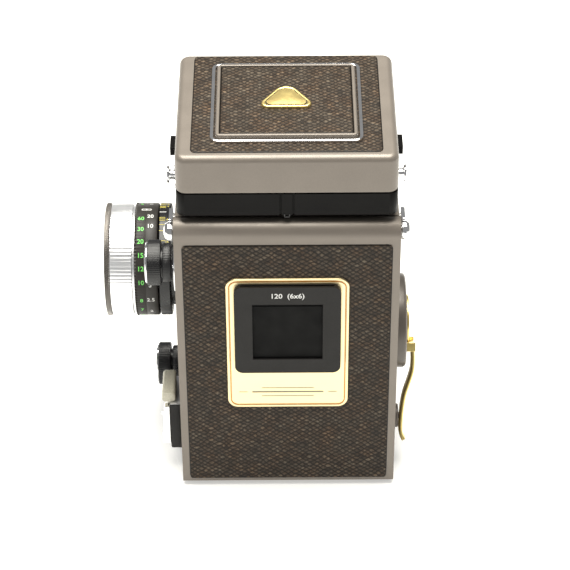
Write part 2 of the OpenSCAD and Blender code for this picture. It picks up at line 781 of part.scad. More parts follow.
module hood_rear_panel() {
    color([0.1, 0.1, 0.1]) difference() {
        union() {
            rod_x(-33.3, 33.3, rear_leaf_y, leaf_z, 0.9);
            translate([0, 0, leaf_z]) linear_extrude(height = 0.8)
                polygon([[-33, rear_leaf_y - 0.6], [rear_leaf_l - 33, rear_leaf_y - rear_leaf_l],
                         [33 - rear_leaf_l, rear_leaf_y - rear_leaf_l], [33, rear_leaf_y - 0.6]]);
        }
        rod_x(-34, 34, rear_leaf_y, leaf_z, 0.45);
    }
}

module magnifier() {
    color([0.15, 0.15, 0.15]) {
        difference() {
            union() {
                block(-14.8, 14.8, mag_y, mag_y + 23.6, mag_z - 0.6, mag_z + 0.6);
                rod_x(-14.8, 14.8, mag_y, mag_z, 1.1);
            }
            rod_z(mag_z - 2, mag_z + 2, 0, mag_y + 12.4, 10);
        }
        for (sx = [-1, 1]) side_rod(sx, 14.8, 16.9, mag_y, mag_z, 0.5);
    }
    color([0.8, 0.85, 0.9, 0.6]) intersection() {
        rod_z(mag_z - 1.6, mag_z + 1.6, 0, mag_y + 12.4, 10);
        translate([0, mag_y + 12.4, mag_z - 44]) sphere(r = 45.5);
    }
}

module hood_latch(sx) {
    color([0.16, 0.15, 0.14]) side_block(sx, 37.4, 41.4, -7.8, -0.2, 125.4, 128.8);
}

module left_hood_latch() { hood_latch(1); }

module right_hood_latch() { hood_latch(-1); }

// ---- drawing ---------------------------------------------------------------------------

body_casting();
film_gate();
mirror_box();
reflex_mirror();
side_leather();
strap_lugs();
hinge_pins();
depth_ring();
spool_escutcheons();
shoe_base();
shoe_cover();
shoe_rails();
crank_base();
counter_window();
hood_base();
focusing_screen();
rear_door();
rear_leather();
badge_plate();
film_memo_holder();
pressure_spring();
pressure_plate();
tripod_plate();
feet();
latch_lever();
lens_board();
focus_struts();
shutter_housing();
lens_barrels();
lens_glasses();
sync_socket();
aperture_wheel();
speed_wheel();
release_button();
release_lock();
focus_shaft();
focus_scale_ring();
focus_knob();
film_speed_dial();
upper_spool_knob();
lower_spool_knob();
take_up_spool();
spool_gear();
idler_gear();
crank_hub();
crank_arm();
crank_handle();
counter_dial();
upper_roller();
lower_roller();
hood_lid();
lid_leather();
finder_frame();
lid_emblem();
hood_rear_panel();
hood_left_panel();
hood_right_panel();
magnifier();
left_hood_latch();
right_hood_latch();
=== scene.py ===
"""Looks of the twin lens reflex camera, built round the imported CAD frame.

Shapes are written in millimetres and turned to metres when a piece is made.
"""
import math

import bmesh
import bpy
from mathutils import Matrix, Vector, noise


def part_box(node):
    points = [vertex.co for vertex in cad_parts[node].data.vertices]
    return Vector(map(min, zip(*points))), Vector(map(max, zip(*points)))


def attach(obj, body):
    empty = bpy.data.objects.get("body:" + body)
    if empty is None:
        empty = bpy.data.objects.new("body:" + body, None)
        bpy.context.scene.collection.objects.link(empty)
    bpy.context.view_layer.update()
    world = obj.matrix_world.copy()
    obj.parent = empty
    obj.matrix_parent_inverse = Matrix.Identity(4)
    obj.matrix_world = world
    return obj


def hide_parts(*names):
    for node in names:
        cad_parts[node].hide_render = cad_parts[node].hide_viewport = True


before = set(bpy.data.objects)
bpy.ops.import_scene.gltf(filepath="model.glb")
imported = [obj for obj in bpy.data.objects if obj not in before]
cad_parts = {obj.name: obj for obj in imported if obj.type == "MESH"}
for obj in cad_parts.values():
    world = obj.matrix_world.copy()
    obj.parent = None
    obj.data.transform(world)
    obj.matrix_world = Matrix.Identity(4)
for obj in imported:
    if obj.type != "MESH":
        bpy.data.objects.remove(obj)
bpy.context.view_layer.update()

MM = 0.001
TAU = 2 * math.pi
VIEW_TILT = 37.84                      # degrees above level that the rear is seen from
EYE = Vector((1.64, 673.76, 590.29))   # the camera's place, in millimetres


def low(node):
    """Lowest corner of a CAD node, in millimetres."""
    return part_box(node)[0] / MM


def high(node):
    """Highest corner of a CAD node, in millimetres."""
    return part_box(node)[1] / MM


def corners(node):
    return low(node), high(node)


def middle(node):
    return (low(node) + high(node)) / 2


def link_new(name, data):
    """Makes an object of some data and puts it in the scene."""
    obj = bpy.data.objects.new(name, data)
    bpy.context.collection.objects.link(obj)
    return obj


def new_mesh(name, verts, faces):
    """Makes a mesh from points in millimetres."""
    mesh = bpy.data.meshes.new(name)
    mesh.from_pydata([(x * MM, y * MM, z * MM) for x, y, z in verts], [], faces)
    return mesh


# ---- materials ----

class Nodes:
    """A short way to write a node tree: each call adds a node and returns it."""

    def __init__(self, name):
        self.material = bpy.data.materials.new(name)
        self.material.use_nodes = True
        self.tree = self.material.node_tree
        self.shader = self.tree.nodes["Principled BSDF"]
        self.position = self.add("ShaderNodeTexCoord").outputs["Object"]

    def add(self, kind, **values):
        node = self.tree.nodes.new(kind)
        for key, value in values.items():
            setattr(node, key, value)
        return node

    def link(self, source, target):
        self.tree.links.new(source, target)

    def set(self, **values):
        for key, value in values.items():
            self.shader.inputs[key.replace("_", " ")].default_value = value
        return self

    def noise(self, scale, detail=3.0, roughness=0.5, stretch=None):
        node = self.add("ShaderNodeTexNoise")
        node.inputs["Scale"].default_value = scale
        node.inputs["Detail"].default_value = detail
        node.inputs["Roughness"].default_value = roughness
        source = self.position
        if stretch:
            mapping = self.add("ShaderNodeMapping")
            mapping.inputs["Scale"].default_value = stretch
            self.link(source, mapping.inputs["Vector"])
            source = mapping.outputs["Vector"]
        self.link(source, node.inputs["Vector"])
        return node.outputs["Fac"]

    def ramp(self, value, stops):
        node = self.add("ShaderNodeValToRGB")
        ramp = node.color_ramp
        while len(ramp.elements) < len(stops):
            ramp.elements.new(0.5)
        for element, (place, colour) in zip(ramp.elements, stops):
            element.position = place
            element.color = (*colour, 1)
        self.link(value, node.inputs["Fac"])
        return node.outputs["Color"]

    def range(self, value, low_out, high_out, low_in=0.3, high_in=0.7):
        node = self.add("ShaderNodeMapRange")
        for key, number in zip(("From Min", "From Max", "To Min", "To Max"),
                (low_in, high_in, low_out, high_out)):
            node.inputs[key].default_value = number
        self.link(value, node.inputs["Value"])
        return node.outputs["Result"]

    def bump(self, value, distance, strength=1.0, under=None):
        node = self.add("ShaderNodeBump")
        node.inputs["Distance"].default_value = distance
        node.inputs["Strength"].default_value = strength
        self.link(value, node.inputs["Height"])
        if under:
            self.link(under, node.inputs["Normal"])
        self.link(node.outputs["Normal"], self.shader.inputs["Normal"])
        return node.outputs["Normal"]

    def colour(self, output):
        self.link(output, self.shader.inputs["Base Color"])
        return self

    def rough(self, output):
        self.link(output, self.shader.inputs["Roughness"])
        return self


def shade(colour, factor):
    return tuple(min(1.0, c * factor) for c in colour)


def enamel(name, colour, metallic=0.35, roughness=0.42, coat=0.25, fleck=0.06, specular=0.4):
    """Sprayed enamel: faint mottling, fine metal flecks and a slight orange peel."""
    n = Nodes(name).set(Metallic=metallic, Coat_Weight=coat, Coat_Roughness=0.28,
        Specular_IOR_Level=specular)
    flecks = n.noise(5200, 2, 0.6)
    n.colour(n.ramp(flecks, [(0.35, shade(colour, 1 - fleck)), (0.5, colour),
        (0.68, shade(colour, 1 + 1.4 * fleck))]))
    n.rough(n.range(n.noise(120, 4), roughness - 0.05, roughness + 0.06))
    peel = n.bump(n.noise(1400, 2), 0.00002, 0.5)
    n.bump(flecks, 0.00001, 0.25, peel)
    return n.material


def metal(name, colour, roughness=0.12, brushed=None, wear=0.03):
    """Plated or machined metal, with hairline brushing along an axis if asked."""
    n = Nodes(name).set(Metallic=1.0)
    stretch = {"x": (0.02, 1, 1), "y": (1, 0.02, 1)}.get(brushed)
    grain = n.noise(3000 if brushed else 260, 4, 0.6, stretch)
    n.colour(n.ramp(grain, [(0.3, shade(colour, 1 - 2 * wear)), (0.7, shade(colour, 1 + wear))]))
    n.rough(n.range(grain, roughness, roughness + (0.14 if brushed else 0.06)))
    n.bump(grain, 0.000006 if brushed else 0.000003, 0.35)
    return n.material


def plastic(name, colour, roughness=0.45, grain=2600, depth=0.00002, specular=0.5):
    """Moulded plastic or matte lacquer with a fine spark-eroded grain."""
    n = Nodes(name).set(Specular_IOR_Level=specular)
    fine = n.noise(grain, 3, 0.6)
    n.colour(n.ramp(fine, [(0.3, shade(colour, 0.86)), (0.7, shade(colour, 1.16))]))
    n.rough(n.range(n.noise(180, 3), roughness - 0.06, roughness + 0.08))
    n.bump(fine, depth, 0.5)
    return n.material


def leather_finish(name):
    """Dark brown embossed leather, with a pale painted highlight on the crowns and near-black painted shade
    in the grooves.
    """
    n = Nodes(name).set(Specular_IOR_Level=0.22)
    height = n.add("ShaderNodeAttribute", attribute_name="emboss").outputs["Fac"]
    # Painted light: this ramp on the emboss height paints shade into the grooves and a pale highlight onto
    # the crowns.
    crown_highlight_groove_shade = n.ramp(height, [(0.0, (0.003, 0.0024, 0.002)), (0.4, (0.022, 0.016, 0.011)),
        (0.75, (0.070, 0.053, 0.037)), (1.0, (0.150, 0.122, 0.088))])
    tint = n.ramp(n.noise(170, 4, 0.6), [(0.42, (1.0, 1.0, 1.0)), (0.72, (1.25, 0.92, 0.66))])
    mix = n.add("ShaderNodeMix", data_type="RGBA", blend_type="MULTIPLY")
    mix.inputs["Factor"].default_value = 0.75
    n.link(crown_highlight_groove_shade, mix.inputs["A"])
    n.link(tint, mix.inputs["B"])
    n.colour(mix.outputs["Result"])
    n.rough(n.range(n.noise(900, 4), 0.42, 0.62))
    pores = n.bump(n.noise(5200, 3, 0.7), 0.00003, 0.5)
    n.bump(n.noise(1500, 3, 0.6), 0.00005, 0.4, pores)
    return n.material


def glass(name, colour, roughness=0.02):
    n = Nodes(name).set(Transmission_Weight=0.92, IOR=1.5, Coat_Weight=0.6, Coat_Roughness=0.02)
    n.colour(n.ramp(n.noise(40, 2), [(0.3, shade(colour, 0.95)), (0.7, colour)]))
    n.rough(n.range(n.noise(300, 2), roughness, roughness + 0.015))
    return n.material


def paint(name, colour, roughness=0.5):
    """Filled engraving or printed marks."""
    n = Nodes(name)
    n.colour(n.ramp(n.noise(2400, 2), [(0.3, shade(colour, 0.9)), (0.7, colour)]))
    n.rough(n.range(n.noise(900, 2), roughness - 0.04, roughness + 0.04))
    return n.material


TAUPE = (0.205, 0.178, 0.152)
MAT = {
    "taupe": enamel("taupe_enamel", TAUPE),
    "taupe_dark": enamel("taupe_disc_enamel", shade(TAUPE, 0.62), 0.3, 0.4),
    "black": enamel("black_enamel", (0.005, 0.0046, 0.0045), 0.0, 0.42, 0.0, 0.2, 0.10),
    "inner_black": plastic("inner_black", (0.006, 0.006, 0.006), 0.75, specular=0.15),
    "black_plastic": plastic("black_plastic", (0.013, 0.012, 0.0115), 0.42, specular=0.22),
    "lens_black": plastic("lens_black", (0.012, 0.012, 0.013), 0.28, 1800, 0.00001, 0.45),
    "scale_black": plastic("scale_black", (0.028, 0.025, 0.022), 0.42, specular=0.3),
    "chrome": metal("chrome", (0.90, 0.90, 0.91), 0.08),
    "spun": metal("spun_chrome", (0.95, 0.955, 0.97), 0.3, "x"),
    "satin_x": metal("satin_face", (0.62, 0.62, 0.63), 0.28),
    "satin": metal("satin_chrome", (0.72, 0.72, 0.73), 0.24, "y"),
    "steel": metal("spring_steel", (0.62, 0.62, 0.63), 0.2, "x"),
    "rim": metal("knurled_rim", (0.42, 0.40, 0.38), 0.34),
    "gold": metal("gold_plate", (1.0, 0.78, 0.31), 0.3),
    "pale_gold": metal("pale_gold", (0.94, 0.78, 0.46), 0.32, "x"),
    "brass": metal("machined_brass", (0.82, 0.64, 0.32), 0.22, "x"),
    # Painted highlight: the shoe cover's pale beige is the taupe paint coloured as it looks lit on its
    # upward top.
    "beige": plastic("shoe_cover_lit_beige", (0.60, 0.57, 0.46), 0.36),
    "ivory": plastic("ivory_dial", (0.78, 0.76, 0.70), 0.4),
    "leather": leather_finish("embossed_leather"),
    "glass": glass("coated_glass", (0.80, 0.72, 1.0)),
    "screen": glass("ground_screen", (0.90, 0.92, 0.90), 0.35),
    "mirror": metal("silvered_mirror", (0.95, 0.95, 0.96), 0.01, None, 0.0),
    "green": paint("green_fill", (0.20, 0.80, 0.15)),
    "white": paint("white_fill", (0.85, 0.85, 0.83)),
    "yellow": paint("yellow_fill", (0.80, 0.68, 0.14)),
    "orange": paint("amber_fill", (0.70, 0.26, 0.03), 0.25),
    "grey_fill": paint("grey_fill", (0.30, 0.27, 0.19)),
}


# ---- the floor, the light and the camera ----

def make_floor():
    shape = bpy.data.meshes.new("floor")
    half = 3.0
    shape.from_pydata([(-half, -half, 0), (half, -half, 0), (half, half, 0), (-half, half, 0)], [],
        [(0, 1, 2, 3)])
    floor = link_new("floor", shape)
    n = Nodes("floor_white")
    n.colour(n.ramp(n.noise(3, 2), [(0.3, (0.80, 0.80, 0.785)), (0.7, (0.83, 0.83, 0.82))]))
    n.set(Roughness=0.6, Specular_IOR_Level=0.2, Emission_Color=(1.0, 1.0, 0.98, 1), Emission_Strength=0.42)
    floor.data.materials.append(n.material)


def area_light(name, place, target, size, power, colour=(1, 1, 1)):
    data = bpy.data.lights.new(name, "AREA")
    data.shape = "SQUARE"
    data.size = size
    data.energy = power
    data.color = colour
    lamp = link_new(name, data)
    lamp.location = place
    lamp.rotation_euler = (Vector(target) - Vector(place)).to_track_quat("-Z", "Y").to_euler()


def make_light():
    world = bpy.data.worlds.new("studio")
    world.use_nodes = True
    background = world.node_tree.nodes["Background"]
    background.inputs["Color"].default_value = (1.0, 1.0, 0.99, 1)
    background.inputs["Strength"].default_value = 0.28
    bpy.context.scene.world = world
    target = (0, 0, 0.07)
    area_light("top_softbox", (0.05, -0.12, 1.1), target, 0.9, 29, (1.0, 0.975, 0.90))
    area_light("rear_fill", (0.8, 1.1, 0.5), target, 0.5, 0.5)
    bpy.context.scene.view_settings.view_transform = "Standard"


def make_camera():
    """The viewpoint behind and above, turned a hair off square as a hand-held shot is."""
    pitch, yaw, roll = math.radians(VIEW_TILT), math.radians(0.072), math.radians(-0.303)
    forward = Vector((-math.sin(yaw) * math.cos(pitch), -math.cos(yaw) * math.cos(pitch), -math.sin(pitch)))
    right = Vector((-math.cos(yaw), math.sin(yaw), 0))
    up = right.cross(forward)
    turned_right = right * math.cos(roll) + up * math.sin(roll)
    turned_up = up * math.cos(roll) - right * math.sin(roll)
    data = bpy.data.cameras.new("camera")
    data.sensor_width = 36
    data.lens = 145.16
    data.clip_start = 0.05
    camera = link_new("camera", data)
    axes = Matrix((turned_right, turned_up, -forward)).transposed().to_4x4()
    camera.matrix_world = Matrix.Translation(EYE * MM) @ axes
    bpy.context.scene.camera = camera


make_floor()
make_light()
make_camera()


# ---- mesh tools ----

def rounded_rect(width, height, radius, steps=8):
    """Points round a rounded rectangle centred on zero, anticlockwise."""
    radius = max(radius, 0.01)
    points = []
    for k, (sx, sy) in enumerate([(1, 1), (-1, 1), (-1, -1), (1, -1)]):
        centre = (sx * (width / 2 - radius), sy * (height / 2 - radius))
        for i in range(steps + 1):
            angle = (k + i / steps) * math.pi / 2
            points.append((centre[0] + radius * math.cos(angle), centre[1] + radius * math.sin(angle)))
    return points


def circle(radius, steps=96, ripple=0.0, teeth=0, phase=0.0):
    """Points round a circle, with optional ripples for knurls and scallops."""
    points = []
    for i in range(steps):
        angle = TAU * i / steps
        r = radius - ripple * (0.5 - 0.5 * math.cos(teeth * angle + phase))
        points.append((r * math.cos(angle), r * math.sin(angle)))
    return points


def knurl(depth, teeth, steps):
    """Ripple for Shape.turned on the listed steps of its profile."""
    return lambda k: (depth, teeth, 0) if k in steps else (0, 0, 0)


class Shape:
    """Gathers the faces of one piece, in millimetres, with a material number for each face."""

    def __init__(self):
        self.verts, self.faces, self.numbers = [], [], []

    def loft(self, rings, number=0, closed=False):
        """Skins a row of rings that have equally many points, with a cap at each end."""
        base, count = len(self.verts), len(rings[0])
        for ring in rings:
            self.verts += [tuple(p) for p in ring]
        pairs = [(i, i + 1) for i in range(len(rings) - 1)]
        if closed:
            pairs.append((len(rings) - 1, 0))
        for a, b in pairs:
            for i in range(count):
                j = (i + 1) % count
                self.add_face([base + a * count + i, base + a * count + j,
                               base + b * count + j, base + b * count + i], number)
        if not closed:
            self.add_face([base + i for i in reversed(range(count))], number)
            self.add_face([base + (len(rings) - 1) * count + i for i in range(count)], number)
        return self

    def add_face(self, indices, number):
        self.faces.append(indices)
        self.numbers.append(number)

    def slab(self, place, width, height, radius, profile, number=0, centre=(0, 0), closed=False, steps=8):
        """Rounded plate from (inset, level) steps; closed makes it a frame instead."""
        rings = []
        for inset, level in profile:
            outline = rounded_rect(width - 2 * inset, height - 2 * inset, max(radius - inset, 0.05), steps)
            rings.append([place(u + centre[0], v + centre[1], level) for u, v in outline])
        return self.loft(rings, number, closed=closed)

    def turned(self, place, profile, number=0, steps=96, ripple=None, closed=False):
        """Lathe piece from (radius, level) steps; ripple(index) gives (depth, teeth, phase)."""
        rings = []
        for k, (radius, level) in enumerate(profile):
            depth, teeth, phase = ripple(k) if ripple else (0, 0, 0)
            outline = circle(max(radius, 0.01), steps, depth, teeth, phase)
            rings.append([place(u, v, level) for u, v in outline])
        return self.loft(rings, number, closed=closed)

    def box(self, lower, upper, bevel=0.2, number=0):
        """Block with bevelled edges."""
        size = [b - a for a, b in zip(lower, upper)]
        mid = [(a + b) / 2 for a, b in zip(lower, upper)]
        b = min([bevel] + [s * 0.3 for s in size])
        return self.slab(lambda u, v, w: (mid[0] + u, mid[1] + v, w), size[0], size[1], b,
            [(b, lower[2]), (b * 0.3, lower[2] + b * 0.3), (0, lower[2] + b), (0, upper[2] - b),
            (b * 0.3, upper[2] - b * 0.3), (b, upper[2])], number, steps=2)

    def make(self, name, body, materials, slot=None, replaces=(), sharp=32):
        """Makes the Blender object, shades it and lets it ride on its body."""
        mesh = new_mesh(name, self.verts, self.faces)
        for material in materials:
            mesh.materials.append(MAT[material])
        mesh.polygons.foreach_set("material_index", self.numbers)
        work = bmesh.new()
        work.from_mesh(mesh)
        bmesh.ops.remove_doubles(work, verts=work.verts, dist=1e-7)
        bmesh.ops.recalc_face_normals(work, faces=work.faces)
        work.to_mesh(mesh)
        work.free()
        mesh.shade_smooth()
        mesh.set_sharp_from_angle(angle=math.radians(sharp))
        obj = link_new(name, mesh)
        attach(obj, body)
        if replaces:
            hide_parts(*replaces)
        return obj


def facing_back(u, v, level):
    """Plates on the rear door: u across, v up, level out of the door."""
    return (u, level, v)


def facing_up(u, v, level):
    return (u, v, level)


def along_x(y, z, side=1):
    """Turned pieces on an axis along X; level is the distance from the middle."""
    return lambda u, v, level: (side * level, y + u, z + v)


def along_y(x, z):
    return lambda u, v, level: (x + u, level, z + v)


def rounded_edge(level0, level1, radius, steps=4):
    """Profile of a plate's wall from level0 up to level1, with a rounded top edge."""
    profile = [(0, level0)]
    for i in range(steps + 1):
        angle = math.pi / 2 * i / steps
        profile.append((radius * (1 - math.cos(angle)), level1 - radius * (1 - math.sin(angle))))
    return profile


# ---- CAD nodes that keep their shape ----

NODE_FINISH = {
    "taupe": ["body_casting", "rear_door", "lens_board"],
    "taupe_dark": ["crank_base"],
    "black": ["hood_base", "hood_rear_panel", "hood_left_panel", "hood_right_panel",
              "left_hood_latch", "right_hood_latch", "magnifier"],
    "inner_black": ["film_gate", "mirror_box", "pressure_plate"],
    "lens_black": ["shutter_housing", "depth_ring", "lens_barrels"],
    "black_plastic": ["shoe_base", "take_up_spool", "feet", "crank_handle",
                      "upper_spool_knob", "lower_spool_knob", "film_memo_holder"],
    "scale_black": ["focus_scale_ring"],
    "chrome": ["strap_lugs", "hinge_pins", "spool_escutcheons", "shoe_rails", "focus_knob",
               "release_button", "sync_socket", "counter_window", "finder_frame"],
    "satin": ["aperture_wheel", "speed_wheel", "release_lock", "tripod_plate", "latch_lever"],
    "steel": ["focus_struts", "pressure_spring", "upper_roller", "lower_roller"],
    "rim": ["film_speed_dial"],
    "beige": ["shoe_cover"],
    "gold": ["crank_hub", "crank_arm", "lid_emblem"],
    "pale_gold": ["badge_plate"],
    "brass": ["spool_gear", "idler_gear", "focus_shaft"],
    "ivory": ["counter_dial"],
    "glass": ["lens_glasses"],
    "screen": ["focusing_screen"],
    "mirror": ["reflex_mirror"],
    "leather": ["side_leather", "rear_leather", "lid_leather"],
}

# Edge radius in millimetres for the nodes that keep their CAD shape
EDGE = {"body_casting": 0.5, "rear_door": 0.6, "lens_board": 0.6, "hood_base": 0.5, "shoe_base": 0.5,
        "shutter_housing": 0.5, "lens_barrels": 0.4, "feet": 0.3, "crank_base": 0.3}


def finish_cad_nodes():
    """Gives every CAD node its material and fine rounded edges."""
    for finish, names in NODE_FINISH.items():
        for name in names:
            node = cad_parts[name]
            node.data.materials.clear()
            node.data.materials.append(MAT[finish])
            weld = node.modifiers.new("weld", "WELD")
            weld.merge_threshold = 1e-6
            bevel = node.modifiers.new("edges", "BEVEL")
            bevel.width = EDGE.get(name, 0.12) * MM
            bevel.segments = 2
            bevel.limit_method = "ANGLE"
            bevel.angle_limit = math.radians(34)
            bevel.harden_normals = True


finish_cad_nodes()


# ---- leather ----

CELL_W, CELL_H = 2.7, 1.9             # one lozenge of the embossing
EMBOSS = 0.2                           # its depth


def emboss(u, v):
    """Height of the embossing from 0 in a groove to 1 on a crown: lozenges, slightly uneven."""
    wobble = noise.noise(Vector((u * 0.35, v * 0.35, 0.0))) * 0.34
    drift = noise.noise(Vector((u * 0.35, v * 0.35, 7.0))) * 0.34
    p = u / CELL_W + v / CELL_H + wobble
    q = u / CELL_W - v / CELL_H + drift
    a = abs(p - math.floor(p) - 0.5) * 2
    b = abs(q - math.floor(q) - 0.5) * 2
    crown = (1 - a ** 4) * (1 - b ** 4)
    cell = noise.noise(Vector((math.floor(p) * 3.7, math.floor(q) * 5.3, 2.0)))
    grain = noise.noise(Vector((u * 2.2, v * 6.5, 4.0)))
    return max(0.0, min(1.0, crown * (0.72 + 0.42 * cell + 0.42 * grain)))


def to_rounded(u, v, width, height, radius):
    """Pulls a point that lies past a rounded corner back onto its arc."""
    cu, cv = width / 2 - radius, height / 2 - radius
    if abs(u) > cu and abs(v) > cv:
        du, dv = abs(u) - cu, abs(v) - cv
        reach = math.hypot(du, dv)
        if reach > radius:
            u = math.copysign(cu + du * radius / reach, u)
            v = math.copysign(cv + dv * radius / reach, v)
    return u, v


def leather_panel(name, body, place, width, height, radius, thickness, step, node, centre=(0, 0),
        hole=None):
    """Embossed sheet on a fine grid; place(u, v, level) sets it on its face."""
    columns, rows = round(width / step), round(height / step)
    rim = 0.45
    verts, faces, heights = [], [], []
    for j in range(rows + 1):
        for i in range(columns + 1):
            u, v = -width / 2 + width * i / columns, -height / 2 + height * j / rows
            u, v = to_rounded(u, v, width, height, radius)
            edge = min(width / 2 - abs(u), height / 2 - abs(v))
            inside = max(0.0, min(1.0, (edge - 0.1) / rim))
            value = emboss(u + centre[0], v + centre[1]) * inside
            level = thickness * (0.35 + 0.65 * min(1.0, edge / 0.3)) - EMBOSS * (1 - value)
            on_border = i in (0, columns) or j in (0, rows)
            verts.append(place(u + centre[0], v + centre[1], 0.0 if on_border else max(level, 0.02)))
            heights.append(value)
    for j in range(rows):
        for i in range(columns):
            a = j * (columns + 1) + i
            if hole and math.hypot(-width / 2 + width * i / columns + centre[0] - hole[0],
                    -height / 2 + height * j / rows + centre[1] - hole[1]) < hole[2]:
                continue
            faces.append((a, a + 1, a + columns + 2, a + columns + 1))
    mesh = new_mesh(name, verts, faces)
    mesh.materials.append(MAT["leather"])
    mesh.attributes.new("emboss", "FLOAT", "POINT").data.foreach_set("value", heights)
    work = bmesh.new()
    work.from_mesh(mesh)
    bmesh.ops.recalc_face_normals(work, faces=work.faces)
    bmesh.ops.delete(work, geom=[v for v in work.verts if not v.link_faces], context="VERTS")
    work.to_mesh(mesh)
    work.free()
    mesh.shade_smooth()
    obj = link_new(name, mesh)
    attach(obj, body)
    if node:
        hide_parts(node)


DOOR_Y = high("rear_door").y           # outer face of the door
LID_TOP = high("hood_lid").z


def make_leathers():
    back_low, back_high = corners("rear_leather")
    leather_panel("rear_leather_skin", "door", lambda u, v, w: (u, DOOR_Y + w, v),
                  back_high.x - back_low.x, back_high.z - back_low.z, 2.0, 0.5, 0.3, "rear_leather",
                  (0, (back_low.z + back_high.z) / 2))
    top_low, top_high = corners("lid_leather")
    leather_panel("lid_leather_skin", "hood_lid", lambda u, v, w: (u, v, LID_TOP + w),
                  top_high.x - top_low.x, top_high.y - top_low.y, 2.4, 0.45, 0.3, "lid_leather",
                  (0, (top_low.y + top_high.y) / 2))
    side_low, side_high = corners("side_leather")
    wall = high("body_casting").x
    window = middle("counter_window")
    centre = ((side_low.y + side_high.y) / 2, (side_low.z + side_high.z) / 2)
    for side, hole in ((1, None), (-1, (window.y, window.z, 3.8))):
        leather_panel("side_leather_" + ("left" if side > 0 else "right"), "body",
                      lambda u, v, w, s=side: (s * (wall + w), u, v),
                      side_high.y - side_low.y, side_high.z - side_low.z, 3.0, 0.58, 0.4,
                      "side_leather", centre, hole)


# ---- hood lid ----

def cut_out(obj, cutter):
    """Takes the cutter's boxes out of a piece for good."""
    tool = link_new("cutter", new_mesh("cutter", cutter.verts, cutter.faces))
    step = obj.modifiers.new("cut", "BOOLEAN")
    step.object, step.operation, step.solver = tool, "DIFFERENCE", "EXACT"
    bpy.context.view_layer.update()
    made = bpy.data.meshes.new_from_object(obj.evaluated_get(bpy.context.evaluated_depsgraph_get()))
    obj.modifiers.clear()
    obj.data = made
    bpy.data.objects.remove(tool)


def make_lid():
    lo, hi = corners("hood_lid")
    width, depth = hi.x - lo.x, hi.y - lo.y
    centre = (0, (lo.y + hi.y) / 2)
    wall, roof = 1.8, hi.z - 1.8
    profile = [(wall + 1.5, roof), (wall + 0.4, roof - 0.3), (wall, roof - 1.2), (wall, lo.z + 0.7),
        (wall - 0.25, lo.z + 0.15), (1.1, lo.z), (0.45, lo.z + 0.02), (0.12, lo.z + 0.25),
        (0, lo.z + 0.7)]
    profile += rounded_edge(lo.z + 1.2, hi.z, 2.3, 8)
    profile += [(3.4, hi.z), (4.6, hi.z)]
    lid = Shape().slab(facing_up, width, depth, 3.6, profile, 0, centre, steps=10)
    piece = lid.make("lid_shell", "hood_lid", ["taupe"], "taupe_enamel", ["hood_lid"], 40)
    notches = Shape()
    for side in (-1, 1):
        notches.box((side * 30.65 - 1.65, lo.y - 1, lo.z - 1), (side * 30.65 + 1.65, -28, 138), 0.3)
        notches.box((side * 37.6 - 1.4, -8.2, lo.z - 1), (side * 37.6 + 1.4, 0.2, 134), 0.3)
    cut_out(piece, notches)
    piece.data.shade_smooth()
    piece.data.set_sharp_from_angle(angle=math.radians(40))
    lugs = Shape()
    for side in (-1, 1):
        lugs.box((side * 27.7 - 1.3, lo.y + wall - 0.2, 133), (side * 27.7 + 1.3, -29.6, 136.6), 0.3)
        lugs.box((side * 16.15 - 0.85, 5.2, 141.5), (side * 16.15 + 0.85, 8.4, roof + 0.2), 0.3)
    lugs.make("lid_lugs", "hood_lid", ["taupe"], "taupe_enamel")


def make_finder_flap():
    """The sports finder's flap: chrome frame, raised enamel frame and a leather centre."""
    lo, hi = corners("finder_frame")
    width, depth = hi.x - lo.x, hi.y - lo.y
    centre = (0, (lo.y + hi.y) / 2)
    base = LID_TOP
    ring = Shape().slab(facing_up, width, depth, 3.2, [(0, base), (0, base + 0.95), (0.12, base + 1.3),
        (0.45, base + 1.42), (0.95, base + 1.42), (1.25, base + 1.25), (1.35, base + 0.9), (1.35, base)],
        0, centre, closed=True)
    ring.make("finder_ring", "hood_lid", ["chrome"], "chrome", ["finder_frame"])
    gap, band = 1.7, 1.5
    frame_piece = Shape().slab(facing_up, width - 2 * gap, depth - 2 * gap, 1.9,
        [(0, base), (0.2, base + 1.6), (0.3, base + 2.0), (0.5, base + 2.25), (0.8, base + 2.35),
        (band - 0.3, base + 2.35), (band - 0.08, base + 2.25), (band, base + 2.0), (band, base)], 0,
        centre, closed=True)
    frame_piece.make("finder_flap_frame", "hood_lid", ["taupe"], "taupe_enamel")
    inner = gap + band + 0.12
    leather_panel("finder_flap_leather", "hood_lid", lambda u, v, w: (u, v, base + 1.75 + w),
                  width - 2 * inner, depth - 2 * inner, 0.8, 0.5, 0.3, None, centre)


def medallion_outline(scale, steps=120):
    """Rounded triangle, wide at the rear: the outline round three circles, with no device on it."""
    circles = [((-6.3, 3.7), 2.4), ((6.3, 3.7), 2.4), ((0.0, -2.6), 4.2)]
    points = []
    for k in range(steps):
        angle = TAU * k / steps
        du, dv = math.cos(angle), math.sin(angle)
        (cu, cv), radius = max(circles, key=lambda c: c[0][0] * du + c[0][1] * dv + c[1])
        points.append(((cu + radius * du) * scale, (cv + radius * dv) * scale))
    return points


def make_emblem():
    """A plain medallion with a raised rim and a dark line, on the flap."""
    mid = middle("lid_emblem")
    base = low("lid_emblem").z - 0.1

    def rings(steps):
        return [[(mid.x + u, mid.y + 0.2 + v, base + level) for u, v in medallion_outline(scale)]
                for scale, level in steps]

    medal = Shape().loft(rings([(1.0, 0), (1.0, 0.75), (0.98, 1.0), (0.94, 1.12), (0.88, 1.1),
        (0.85, 0.95), (0.80, 0.95), (0.6, 1.1), (0.3, 1.2), (0.02, 1.22)]))
    medal.make("lid_medallion", "hood_lid", ["gold"], "gold", ["lid_emblem"], 50)
    line = Shape().loft(rings([(0.84, 0.99), (0.80, 0.99), (0.80, 0.93), (0.84, 0.93)]), closed=True)
    line.make("medallion_line", "hood_lid", ["black_plastic"], "gold")


# ---- badge and memo holder ----

